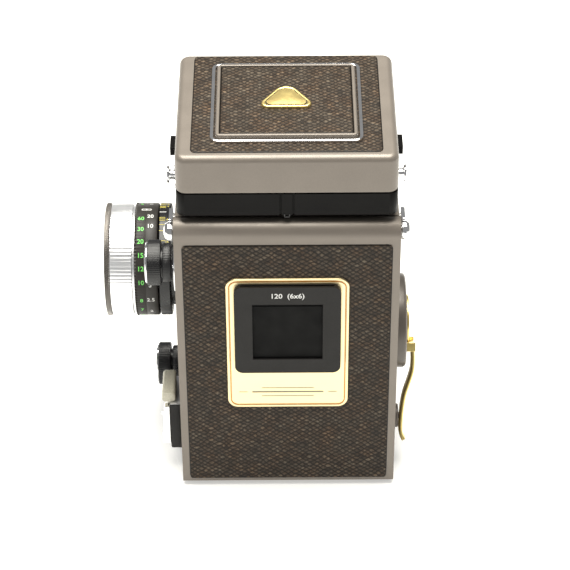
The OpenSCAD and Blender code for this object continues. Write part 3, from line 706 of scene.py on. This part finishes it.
def make_badge():
    lo, hi = corners("badge_plate")
    width, height = hi.x - lo.x, hi.z - lo.z
    centre = (0, (lo.z + hi.z) / 2)
    base, face = lo.y - 0.3, hi.y
    plate = Shape().slab(facing_back, width, height, 3.8, [(0, base), (0, face - 0.2), (0.08, face),
        (0.22, face + 0.06), (0.75, face + 0.06), (0.9, face), (0.98, face - 0.14), (1.42, face - 0.14),
        (1.5, face - 0.02), (1.7, face + 0.02), (2.4, face), (4, face)], 0, centre, steps=10)
    plate.make("badge_shell", "door", ["pale_gold"], "cream_gold", ["badge_plate"], 50)
    crown_highlight_groove_shade = Shape().slab(facing_back, width - 2.05, height - 2.05, 2.8,
        [(0, face - 0.2), (0, face - 0.08), (0.35, face - 0.08), (0.35, face - 0.2)], 0, centre,
        closed=True)
    crown_highlight_groove_shade.make("badge_groove", "door", ["orange"], "cream_gold")
    marks = Shape()
    z0 = lo.z + 7.2
    for x, half_w, z, half_h in [(0, 9.5, z0 + 1.9, 0.16), (0, 13.0, z0, 0.34), (0, 9.5, z0 - 1.9, 0.16),
            (-16.2, 1.6, z0, 0.16), (16.2, 1.6, z0, 0.16)]:
        marks.slab(facing_back, 2 * half_w, 2 * half_h, half_h * 0.9,
                   [(0, face - 0.1), (0, face + 0.035), (0.05, face + 0.05)], 0, (x, z))
    marks.make("badge_lines", "door", ["grey_fill"], "cream_gold")


def text_shape(text, height, depth):
    """Flat numerals as points and faces, centred on zero, from the built-in font."""
    curve = bpy.data.curves.new("numerals", "FONT")
    curve.body = text
    curve.size = height * 1.38
    curve.align_x, curve.align_y = "CENTER", "CENTER"
    curve.extrude = depth
    curve.offset = 0.018 * height
    curve.resolution_u = 3
    holder = link_new("numerals", curve)
    bpy.context.view_layer.update()
    mesh = bpy.data.meshes.new_from_object(holder.evaluated_get(bpy.context.evaluated_depsgraph_get()))
    points = [tuple(v.co) for v in mesh.vertices]
    faces = [list(p.vertices) for p in mesh.polygons]
    bpy.data.objects.remove(holder)
    bpy.data.meshes.remove(mesh)
    return points, faces


def add_text(shape, text, height, place, number=0, depth=0.05):
    """Adds numerals to a shape; place(right, up, out) bends them onto a surface."""
    points, faces = text_shape(text, height, depth)
    base = len(shape.verts)
    shape.verts += [place(*p) for p in points]
    for face in faces:
        shape.add_face([base + i for i in face], number)


def make_memo_label():
    face = high("film_memo_holder").y
    top = high("film_memo_holder").z
    label = Shape()
    add_text(label, "120  (6x6)", 2.1, lambda right, up, out: (-right, face + 0.02 + out, top - 3.9 + up),
        0, 0.03)
    label.make("memo_label", "door", ["white"], "black_plastic")
    # Painted shade: a near-black card just behind the holder's front darkens its window as the shade in the
    # recess would.
    window_shade_card = Shape().slab(facing_back, 26, 26, 0.3, [(0, face - 1.35), (0, face - 1.15),
        (0.1, face - 1.05)], 0, (0, 73.9))
    window_shade_card.make("memo_window_shade_card", "door", ["inner_black"], "black_plastic")


make_leathers()
make_lid()
make_finder_flap()
make_emblem()
make_badge()
make_memo_label()


# ---- focus knob ----

KNOB_Y, KNOB_Z = middle("focus_knob").y, middle("focus_knob").z
KNOB_R = (high("focus_scale_ring").z - low("focus_scale_ring").z) / 2


def knob_text(x, angle):
    """Numerals round the knob, upright for the user; angle is measured up from level."""
    start = math.radians(angle)

    def place(right, up, out):
        turn = start + up / KNOB_R
        reach = KNOB_R + 0.02 + out
        return (x - right, KNOB_Y + reach * math.cos(turn), KNOB_Z + reach * math.sin(turn))
    return place


def mark(shape, place, half_w, half_h, number=0, depth=0.06):
    """Small filled bar, place as for numerals."""
    shape.slab(place, 2 * half_w, 2 * half_h, min(half_w, half_h) * 0.3,
               [(0, -0.15), (0, depth * 0.7), (0.02, depth)], number, steps=2)


def make_focus_scale():
    axis = along_x(KNOB_Y, KNOB_Z)
    r = KNOB_R
    ring = Shape()
    teeth = 104
    ring.turned(axis, [(3, 46.9), (r - 0.7, 46.9), (r - 0.2, 47.05), (r, 47.4), (r, 51.35),
        (r - 0.05, 51.45), (r, 51.55), (r, 54.6), (r + 0.2, 54.85), (r + 0.22, 55.25), (r - 0.1, 55.45),
        (3, 55.45)], 0, teeth * 8, knurl(0.42, teeth, (8, 9, 10)))
    ring.make("knob_scale_ring", "focus_knob", ["scale_black"], "black_enamel", ["focus_scale_ring"], 30)
    green, white = Shape(), Shape()
    for text, angle in [("60", 44.2), ("30", 30.5), ("20", 16.7), ("15", 2.5), ("12", -11.1),
            ("10", -25.7), ("8", -48.2), ("7", -64.4), ("6", -84.0), ("5", -107.0), ("4.5", -124.0),
            ("4", -142.0)]:
        add_text(green, text, 1.75, knob_text(53.1, angle + VIEW_TILT), 0, 0.04)
    for text, angle in [("20", 47.5), ("10", 34.2), ("5", 9.0), ("4", -8.0), ("3", -28.4), ("2.5", -46.9),
            ("2", -68.0), ("1.5", -98.0), ("1.2", -136.0)]:
        add_text(white, text, 1.75, knob_text(49.7, angle + VIEW_TILT), 0, 0.04)
    endless = knob_text(51.25, 59.4 + VIEW_TILT)
    white.slab(endless, 3.7, 1.15, 0.57, [(0, -0.1), (0, 0.05), (0.28, 0.05), (0.28, -0.1)], 0, closed=True)
    mark(white, endless, 0.18, 0.5)
    add_text(green, "ft", 1.2, knob_text(53.1, 75 + VIEW_TILT), 0, 0.04)
    add_text(white, "m", 1.2, knob_text(49.7, 75 + VIEW_TILT), 0, 0.04)
    green.make("scale_feet", "focus_knob", ["green"], "black_enamel")
    white.make("scale_metres", "focus_knob", ["white"], "black_enamel")


def make_focus_barrel():
    axis = along_x(KNOB_Y, KNOB_Z)
    r = KNOB_R - 0.3
    barrel = Shape()
    barrel.turned(axis, [(6, 55.3), (r - 0.5, 55.3), (r - 0.35, 55.5), (r - 0.35, 56.2), (r, 56.45),
        (r + 0.02, 59.6), (r, 63.9), (r - 0.15, 64.3), (r - 0.5, 64.4), (6, 64.4)], 0, 960,
        knurl(0.09, 96, (4, 5, 6)))
    barrel.make("knob_barrel", "focus_knob", ["spun"], "chrome", ["focus_knob"], 30)
    teeth, slant = 150, 1.1
    steps = teeth * 8
    rim = Shape()
    levels = [(r + 0.1, 64.5, 0), (KNOB_R - 0.1, 64.62, 0.3)]
    levels += [(KNOB_R + 0.12, 64.75 + 0.2 * k, 0.75) for k in range(8)]
    levels += [(KNOB_R - 0.1, 66.28, 0.3), (r - 0.3, 66.42, 0), (r - 1.2, 66.35, 0), (r - 1.6, 66.0, 0),
               (r - 1.7, 65.4, 0), (5.1, 65.4, 0), (5.1, 64.5, 0)]
    rim.turned(axis, [(radius, level) for radius, level, _ in levels], 0, steps,
               lambda k: (levels[k][2], teeth, slant * k), closed=True)
    rim.make("knob_rim", "film_speed_dial", ["rim"], "dark_rim", ["film_speed_dial"], 40)
    face = Shape().turned(axis, [(18.4, 65.3), (18.4, 65.75), (18.2, 65.9), (12.2, 65.9), (12.0, 65.75),
        (12.0, 65.3)], 0, 128, closed=True)
    face.make("knob_face", "film_speed_dial", ["black"], "black_enamel")
    disc = Shape().turned(axis, [(5.6, 65.4), (11.6, 65.4), (11.8, 65.55), (11.8, 66.2), (11.55, 66.4),
        (6.2, 66.5), (5.8, 66.4), (5.6, 66.1)], 0, 128, closed=True)
    disc.make("knob_disc", "film_speed_dial", ["satin_x"], "satin_chrome")
    hub = Shape().turned(axis, [(4.4, 65.2), (4.4, 66.1), (4.1, 66.4), (0, 66.55)], 0, 64)
    # Painted shade: a black bar stands in for the screw's slot, whose dark is shade.
    hub.box((66.3, KNOB_Y - 3.4, KNOB_Z - 0.3), (66.75, KNOB_Y + 3.4, KNOB_Z + 0.3), 0.05, 1)
    hub.make("knob_screw", "focus_knob", ["chrome", "black"], "chrome")
    dial = Shape()
    for k, text in enumerate(["25", "50", "100", "200", "400", "800", "1600", "3200"]):
        turn = math.radians(90 - 45 * k)

        def place(right, up, out, turn=turn):
            radius = 15.4 + up
            swing = turn - right / 15.4
            return (65.95 + out, KNOB_Y - radius * math.cos(swing), KNOB_Z + radius * math.sin(swing))
        add_text(dial, text, 1.9, place, 0, 0.04)
        for part in (0.0, 0.333, 0.667):
            swing = turn - part * math.radians(45)
            mark(dial, lambda u, v, w, a=swing: (65.95 + w,
                KNOB_Y - (17.6 + v) * math.cos(a) + u * math.sin(a),
                KNOB_Z + (17.6 + v) * math.sin(a) + u * math.cos(a)), 0.12, 0.42)
    dial.make("dial_numerals", "film_speed_dial", ["white"], "black_enamel")


def make_depth_ring():
    axis = along_x(KNOB_Y, KNOB_Z)
    inner, r = high("body_casting").x, KNOB_R
    ring = Shape().turned(axis, [(3.05, inner), (17, inner), (17, 42.3), (r - 0.4, 42.4), (r, 42.7),
        (r, 46.2), (r - 0.25, 46.45), (3.05, 46.5)], 0, 160, closed=True)
    ring.make("depth_of_field_ring", "body", ["lens_black"], "black_enamel", ["depth_ring"], 30)
    yellow, white = Shape(), Shape()
    index = 92.5
    for offset in (9, 11, 13, 18.7, 26, 37):
        for sign in (-1, 1):
            mark(yellow, knob_text(45.3, index + sign * offset), 1.1, 0.11)
    for text, offset in (("4", 11), ("8", 18.7), ("16", 37)):
        for sign in (-1, 1):
            add_text(yellow, text, 0.95, knob_text(43.5, index + sign * (offset + 1.0)), 0, 0.03)
    mark(white, knob_text(45.2, index), 1.2, 0.2)
    yellow.make("depth_lines", "body", ["yellow"], "black_enamel")
    white.make("focus_index", "body", ["white"], "black_enamel")


# ---- spool knobs ----

def make_spool_knob(node, name):
    mid = middle(node)
    axis = along_x(mid.y, mid.z)
    knob = Shape()
    knob.turned(axis, [(2.3, 29.2), (2.3, 33), (2.9, 33), (2.9, 41.3), (6.5, 41.3), (6.8, 41.5),
        (6.95, 41.8), (6.95, 44.0), (6.7, 44.4), (5.7, 44.4), (5.7, 45.0), (7.8, 45.0), (8.1, 45.15),
        (8.2, 45.5), (8.2, 49.3), (8.05, 49.75), (7.75, 49.9), (7.4, 49.9)], 0, 288,
        knurl(0.14, 72, (6, 7, 13, 14)))
    knob.turned(axis, [(7.5, 49.6), (7.5, 50.2), (7.2, 50.55), (6.2, 50.8), (4, 51.0), (0, 51.1)], 1, 96)
    knob.make(name, node, ["lens_black", "chrome"], "black_plastic", [node], 30)
    # Painted shade: a black bar on the knob's chrome end stands in for its slot, whose dark is shade.
    slot = Shape().box((50.95, mid.y - 2.2, mid.z - 0.3), (51.2, mid.y + 2.2, mid.z + 0.3), 0.05)
    slot.make(name + "_slot_shade", node, ["black"], "chrome")


def make_escutcheons():
    inner = high("body_casting").x
    shape = Shape()
    for node in ("upper_spool_knob", "lower_spool_knob"):
        mid = middle(node)
        shape.turned(along_x(mid.y, mid.z), [(3.05, inner), (10.5, inner), (10.5, 39.9), (10.35, 40.2),
            (9.9, 40.45), (9.2, 40.5), (8.8, 40.75), (8.4, 40.95), (7.8, 41), (3.05, 41)], 0, 128,
            closed=True)
        for k in range(3):
            turn = TAU * (k / 3 + 0.08)
            y, z = mid.y + 9.65 * math.cos(turn), mid.z + 9.65 * math.sin(turn)
            shape.turned(along_x(y, z), [(0.55, 40.2), (0.55, 40.5), (0.4, 40.62), (0, 40.66)], 0, 20)
    shape.make("escutcheons", "body", ["chrome"], "chrome", ["spool_escutcheons"], 30)


make_focus_scale()
make_focus_barrel()
make_depth_ring()
make_spool_knob("upper_spool_knob", "upper_knob")
make_spool_knob("lower_spool_knob", "lower_knob")
make_escutcheons()


# ---- accessory shoe ----

def make_shoe():
    lo, hi = corners("shoe_base")
    base = Shape().box(lo, hi, 0.5)
    for k in (0.25, 0.75):
        z = lo.z + k * (hi.z - lo.z)
        base.turned(along_x((lo.y + hi.y) / 2, z), [(1.6, hi.x - 0.1), (1.6, hi.x + 0.25),
            (1.35, hi.x + 0.4), (0, hi.x + 0.45)], 1, 32)
    base.make("shoe_block", "body", ["black_plastic", "satin_x"], "black_plastic", ["shoe_base"])
    # Painted highlight: a thin satin metal strip along the block's top edge stands in for the light caught
    # on that edge.
    edge = Shape().box((lo.x + 0.8, lo.y + 0.5, hi.z - 0.1), (hi.x - 0.2, hi.y - 0.35, hi.z + 0.12), 0.05)
    edge.make("shoe_edge_highlight", "body", ["satin_x"], "black_plastic")
    # The cover's pale beige is a painted highlight: taupe paint coloured as the light on its top makes it
    # look.
    lo, hi = corners("shoe_cover")
    cover = Shape().slab(lambda u, v, w: ((lo.x + hi.x) / 2 + u, w, (lo.z + hi.z) / 2 + v), hi.x - lo.x,
        hi.z - lo.z, 1.3, [(0.5, lo.y), (0.15, lo.y + 0.15), (0, lo.y + 0.5), (0, hi.y - 0.5),
        (0.15, hi.y - 0.15), (0.5, hi.y)], 0, steps=5)
    cover.make("shoe_lever", "body", ["beige"], "beige_plastic", ["shoe_cover"])


def make_rails():
    """Spring plates that lean outwards to the foot, with two rivets each."""
    lo, hi = corners("shoe_rails")
    rails = Shape()
    for y0, y1 in ((lo.y, lo.y + 2.6), (hi.y - 2.6, hi.y)):
        outline = [(44.05, 12), (47.0, 12), (47.2, 12.3), (47.05, 14), (46.1, 29.6), (45.8, 30),
            (44.05, 30)]
        inner = sum(p[0] for p in outline) / len(outline)
        rings = []
        for y, shrink in ((y0, 0.94), (y0 + 0.15, 1), (y1 - 0.15, 1), (y1, 0.94)):
            rings.append([(inner + (x - inner) * shrink, y, 21 + (z - 21) * (1 - (1 - shrink) * 0.2))
                          for x, z in outline])
        rails.loft(rings)
    for z in (16.0, 26.0):
        for y0, y1 in ((lo.y, lo.y + 2.6), (hi.y - 2.6, hi.y)):
            rails.turned(along_x((y0 + y1) / 2, z), [(0.7, 46), (0.7, 47.0), (0.5, 47.2), (0, 47.25)], 0,
                20)
    rails.box((44.05, lo.y + 0.6, 12), (44.75, hi.y - 0.6, 30), 0.15)
    rails.make("shoe_rail_plates", "body", ["chrome"], "chrome", ["shoe_rails"])


# ---- film crank ----

CRANK = Vector((0, middle("crank_base").y, middle("crank_base").z))
LEAN = math.radians(29.2)              # lean of the folded arm from straight down


def on_crank(across, along, level):
    """Across and along the folded arm, level out from the middle of the camera."""
    return (-level, CRANK.y + across * math.cos(LEAN) + along * math.sin(LEAN),
            CRANK.z + across * math.sin(LEAN) - along * math.cos(LEAN))


def strip(shape, path, half_width, thickness):
    """Bent strip with rounded edges: path gives (along, level) of its outer face."""
    outline = rounded_rect(2 * half_width, thickness, thickness * 0.46, 6)
    rings = []
    for k, (along, level) in enumerate(path):
        before, after = path[max(k - 1, 0)], path[min(k + 1, len(path) - 1)]
        run = Vector((after[0] - before[0], after[1] - before[1])).normalized()
        narrow = 1.0 if 0 < k < len(path) - 1 else 0.8
        rings.append([on_crank(u * narrow, along - run.y * (v - thickness / 2),
            level + run.x * (v - thickness / 2)) for u, v in outline])
    return shape.loft(rings)


def smooth_path(points, steps=6):
    """Catmull-Rom curve through (along, level) points."""
    path = []
    for k in range(len(points) - 1):
        p0, p1 = Vector(points[max(k - 1, 0)]), Vector(points[k])
        p2, p3 = Vector(points[k + 1]), Vector(points[min(k + 2, len(points) - 1)])
        for i in range(steps):
            t = i / steps
            path.append(tuple(0.5 * ((2 * p1) + (p2 - p0) * t + (2 * p0 - 5 * p1 + 4 * p2 - p3) * t * t
                + (3 * p1 - p0 - 3 * p2 + p3) * t ** 3)))
    return path + [tuple(points[-1])]


def make_crank():
    axis = along_x(CRANK.y, CRANK.z, -1)
    r = (high("crank_base").z - low("crank_base").z) / 2
    inner = high("body_casting").x
    base = Shape().turned(axis, [(3.1, inner), (r, inner), (r, 43.0), (r - 0.3, 43.7), (r - 1.0, 44.15),
        (r - 1.8, 44.2), (r - 2.3, 43.95), (12.2, 43.95), (11.8, 44.2), (10.2, 44.2), (3.1, 44.2)], 0,
        160, closed=True)
    base.make("crank_disc", "body", ["taupe_dark"], "taupe_disc", ["crank_base"], 24)
    cap = Shape().turned(axis, [(9.4, 44.42), (9.5, 44.6), (9.5, 44.95), (9.3, 45.25), (8.9, 45.38),
        (8.0, 45.42), (7.4, 45.47), (6.4, 45.52), (3.2, 45.55), (2.6, 45.5), (0, 45.5)], 0, 128)
    # Painted shade: a black bar stands in for the cap's slot, whose dark is shade.
    cap.box((-45.56, CRANK.y - 1.7, CRANK.z - 0.22), (-45.46, CRANK.y + 1.7, CRANK.z + 0.22), 0.02, 1)
    cap.make("crank_cap", "crank", ["gold", "black"], "gold", (), 30)
    arm = Shape()
    path = smooth_path([(8.6, 47.4), (10, 47.55), (14, 47.8), (19, 47.5), (23.5, 46.2), (28, 44.7),
        (33, 43.75), (38, 43.25), (41.5, 43.15), (43.5, 43.5), (45, 44.3)])
    strip(arm, path, 4.1, 1.4)
    arm.turned(lambda u, v, w: on_crank(w, 9.5 + u, 46.8 + v), [(0.56, -4.4), (1.0, -4.4), (1.15, -4.2),
        (1.15, 4.2), (1.0, 4.4), (0.56, 4.4)], 0, 32, closed=True)
    arm.make("crank_strip", "crank_arm", ["gold"], "gold", ["crank_arm"], 40)
    grip = Shape().turned(lambda u, v, w: on_crank(u, 36.5 + v, w),
        [(4.2, 40.2), (4.45, 40.35), (4.5, 40.7), (4.5, 41.2), (4.2, 41.5), (1.2, 41.5), (1.2, 42.2),
        (0, 42.2)], 0, 64)
    grip.make("crank_grip", "crank_handle", ["taupe_dark"], "dark_rim", ["crank_handle"], 30)


# ---- hood catch and strap lugs ----

def make_hood_catch():
    """The small catch in the tab at the back of the hood's base."""
    y = high("hood_base").y
    z = low("hood_base").z
    catch = Shape()
    catch.box((-0.9, y - 0.2, z + 2.3), (0.9, y + 0.25, z + 2.75), 0.1)
    catch.box((-1.1, y - 0.2, z + 2.75), (-0.65, y + 0.25, z + 3.7), 0.1)
    catch.box((0.65, y - 0.2, z + 2.75), (1.1, y + 0.25, z + 3.7), 0.1)
    catch.make("hood_catch", "body", ["lens_black"], "black_enamel")


def make_strap_lugs():
    """Studs for the strap's eyelets: plate, waisted post and domed head, with two screws."""
    lo, hi = corners("strap_lugs")
    mid_y, wall = (lo.y + hi.y) / 2, high("body_casting").x
    post_z = lo.z + 7
    shape = Shape()
    for side in (-1, 1):
        def plate(u, v, w, side=side):
            return (side * w, mid_y + u, (lo.z + hi.z) / 2 + v)
        shape.slab(plate, hi.y - lo.y, hi.z - lo.z, 3.2, [(0, wall), (0, wall + 0.75), (0.1, wall + 0.95),
            (0.3, wall + 1.02), (0.9, wall + 1.02)], 0)
        shape.turned(along_x(mid_y, post_z, side), [(2.6, wall + 0.9), (2.3, wall + 1.3),
            (1.75, wall + 1.8), (1.7, wall + 2.8), (2.1, wall + 3.3), (3.05, wall + 3.5),
            (3.2, wall + 3.75), (3.15, wall + 4.1), (2.6, wall + 4.5), (0, wall + 4.68)], 0, 64)
        for dz in (-5.0, 3.4):
            shape.turned(along_x(mid_y, post_z + dz, side), [(1.0, wall + 0.9), (1.0, wall + 1.25),
                (0.75, wall + 1.5), (0, wall + 1.55)], 0, 24)
    shape.make("strap_studs", "body", ["chrome"], "chrome", ["strap_lugs"], 30)


make_shoe()
make_rails()
make_crank()
make_hood_catch()
make_strap_lugs()


# ---- front: lenses, wheels and release ----

BOARD_Y = low("lens_board").y          # front face of the lens board
LENS_Z = {"taking": middle("lens_barrels").z - 22, "viewing": middle("lens_barrels").z + 22}


def make_lenses():
    """Barrels with ribbed inner walls and bayonet rims, and plain chrome trim rings."""
    back, front = high("lens_barrels").y, low("lens_barrels").y
    r = 19.0
    barrels, rings = Shape(), Shape()
    for z in LENS_Z.values():
        axis = along_y(0, z)
        ribs = []
        for k in range(7):
            y, inner = front + 1.6 + 0.75 * k, 16.0 - 0.3 * k
            ribs += [(inner + 0.12, y), (inner - 0.18, y + 0.3)]
        barrels.turned(axis, [(14, back), (r, back), (r, -66.6), (r + 0.3, -66.9), (r + 1.3, -67.2),
            (r + 1.6, -67.6), (r + 1.6, front + 0.5), (r + 1.45, front + 0.1), (r + 1.1, front),
            (16.6, front), (16.3, front + 0.3), (16.2, front + 1.2)] + ribs + [(13.95, -66.2),
            (13.95, back)], 0, 160, closed=True)
        for y in (-52.5, -54.0):
            barrels.turned(axis, [(r - 0.3, y - 0.4), (r + 0.25, y - 0.4), (r + 0.25, y + 0.4),
                (r - 0.3, y + 0.4)], 0, 480, knurl(0.25, 120, (1, 2)), closed=True)
        rings.turned(axis, [(19.5, front - 0.02), (20.1, front - 0.02), (20.2, front + 0.1),
            (20.2, front + 0.6), (19.5, front + 0.6)], 0, 160, closed=True)
        rings.turned(axis, [(13.0, -65.0), (14.05, -65.0), (14.05, -64.2), (13.6, -63.9), (13.0, -63.9)],
                     0, 128, closed=True)
    barrels.make("lens_barrel_shells", "lens_board", ["lens_black"], "black_enamel", ["lens_barrels"], 28)
    rings.make("lens_trim_rings", "lens_board", ["chrome"], "chrome")


def make_glasses():
    """Front and rear glasses as true lenses, with a purple coating."""
    shape = Shape()
    for z in LENS_Z.values():
        axis = along_y(0, z)
        profile = [(0.01, -64.0)]
        for k in range(1, 13):
            radius = 13.9 * k / 12
            profile.append((radius, -38 - math.sqrt(26 ** 2 - radius ** 2)))
        profile += [(13.9, -58.2), (0, -58.2)]
        shape.turned(axis, profile, 0, 96)
        profile = [(0.01, -37.5)]
        for k in range(1, 9):
            radius = 12.4 * k / 8
            profile.append((radius, -66 + math.sqrt(28.5 ** 2 - radius ** 2)))
        profile += [(12.4, BOARD_Y - 0.9), (0, BOARD_Y - 0.9)]
        shape.turned(axis, profile, 0, 96)
    shape.make("coated_glasses", "lens_board", ["glass"], "glass", ["lens_glasses"], 30)
    cells = Shape()
    for z in LENS_Z.values():
        axis = along_y(0, z)
        cells.turned(axis, [(13.0, -57.6), (13.9, -57.6), (13.9, -49), (13.0, -49)], 0, 96, closed=True)
        cells.turned(axis, [(0, -56.6), (13.2, -56.6), (13.2, -56.2), (0, -56.2)], 0, 96)
    cells.make("lens_cells", "lens_board", ["inner_black"], "black_enamel")


def make_housing():
    y0 = low("shutter_housing").y
    trim = Shape()
    for radius, z in ((24, LENS_Z["taking"]), (21.5, LENS_Z["viewing"])):
        axis = along_y(0, z)
        trim.turned(axis, [(radius - 2.2, y0 - 0.15), (radius - 1.2, y0 - 0.15), (radius - 1.1, y0 + 0.2),
            (radius - 2.3, y0 + 0.2)], 0, 160, closed=True)
    trim.make("housing_trim", "lens_board", ["satin"], "satin_chrome")
    screws = Shape()
    for x, z in ((-29.5, 33), (29.5, 33), (-28.2, 109.2), (28.2, 109.2), (-12.5, 70), (12.5, 70)):
        level = BOARD_Y if abs(x) > 20 else y0
        screws.turned(along_y(x, z), [(1.5, level + 0.2), (1.5, level - 0.15), (1.3, level - 0.3),
            (0, level - 0.42)], 0, 32)
        # Painted shade: a black bar stands in for each screw's slot, whose dark is shade.
        screws.box((x - 1.1, level - 0.46, z - 0.14), (x + 1.1, level - 0.36, z + 0.14), 0.02, 1)
    screws.make("front_screws", "lens_board", ["chrome", "black"], "chrome")


def make_wheel(node, name):
    """Setting wheel: knurled rim and a stepped black centre."""
    mid, (lo, hi) = middle(node), corners(node)
    axis = along_y(mid.x, mid.z)
    wheel = Shape()
    wheel.turned(axis, [(2, hi.y), (6.4, hi.y), (6.95, hi.y - 0.3), (7.0, hi.y - 0.6), (7.0, lo.y + 0.9),
        (6.8, lo.y + 0.45), (6.3, lo.y + 0.25), (5.6, lo.y + 0.2)], 0, 320, knurl(0.35, 40, (3, 4)))
    wheel.turned(axis, [(5.6, lo.y + 0.4), (5.6, lo.y + 0.1), (5.35, lo.y), (3.0, lo.y),
        (2.7, lo.y + 0.2), (0, lo.y + 0.2)], 1, 96)
    wheel.make(name, node, ["satin", "lens_black"], "satin_chrome", [node], 30)


def make_release():
    mid, (lo, hi) = middle("release_button"), corners("release_button")
    button = Shape().turned(along_y(mid.x, mid.z), [(2, hi.y), (2, hi.y - 1.6), (3.3, hi.y - 1.6),
        (3.6, hi.y - 1.8), (3.6, lo.y + 0.5), (3.3, lo.y + 0.15), (2.6, lo.y + 0.1), (1.2, lo.y + 0.35),
        (0.8, lo.y + 0.9), (0, lo.y + 1.0)], 0, 64)
    button.make("release_plunger", "release_button", ["chrome"], "chrome", ["release_button"], 30)
    lo, hi = corners("release_lock")
    collar = Shape().turned(along_y(mid.x, mid.z), [(3.9, hi.y), (5.4, hi.y), (5.6, hi.y - 0.25),
        (5.6, lo.y + 0.5), (5.3, lo.y + 0.1), (4.2, lo.y), (3.9, lo.y + 0.3)], 0, 256,
        knurl(0.22, 64, (2, 3)), closed=True)
    collar.box((mid.x - 1.2, lo.y, mid.z - 8), (mid.x + 1.2, hi.y, mid.z - 4.8), 0.3)
    collar.make("release_collar", "release_lock", ["satin"], "satin_chrome", ["release_lock"], 30)
    mid, (lo, hi) = middle("sync_socket"), corners("sync_socket")
    socket = Shape().turned(along_y(mid.x, mid.z), [(3.6, hi.y), (3.6, lo.y + 0.4), (3.35, lo.y),
        (2.3, lo.y), (2.0, lo.y + 0.3), (2.0, hi.y - 0.5), (0, hi.y - 0.5)], 0, 64)
    socket.turned(along_y(mid.x, mid.z), [(0.6, hi.y - 0.4), (0.6, lo.y + 1.0), (0.4, lo.y + 0.8),
        (0, lo.y + 0.8)], 0, 24)
    socket.make("sync_terminal", "lens_board", ["chrome"], "chrome", ["sync_socket"], 30)


make_lenses()
make_glasses()
make_housing()
make_wheel("aperture_wheel", "aperture_setting")
make_wheel("speed_wheel", "speed_setting")
make_release()
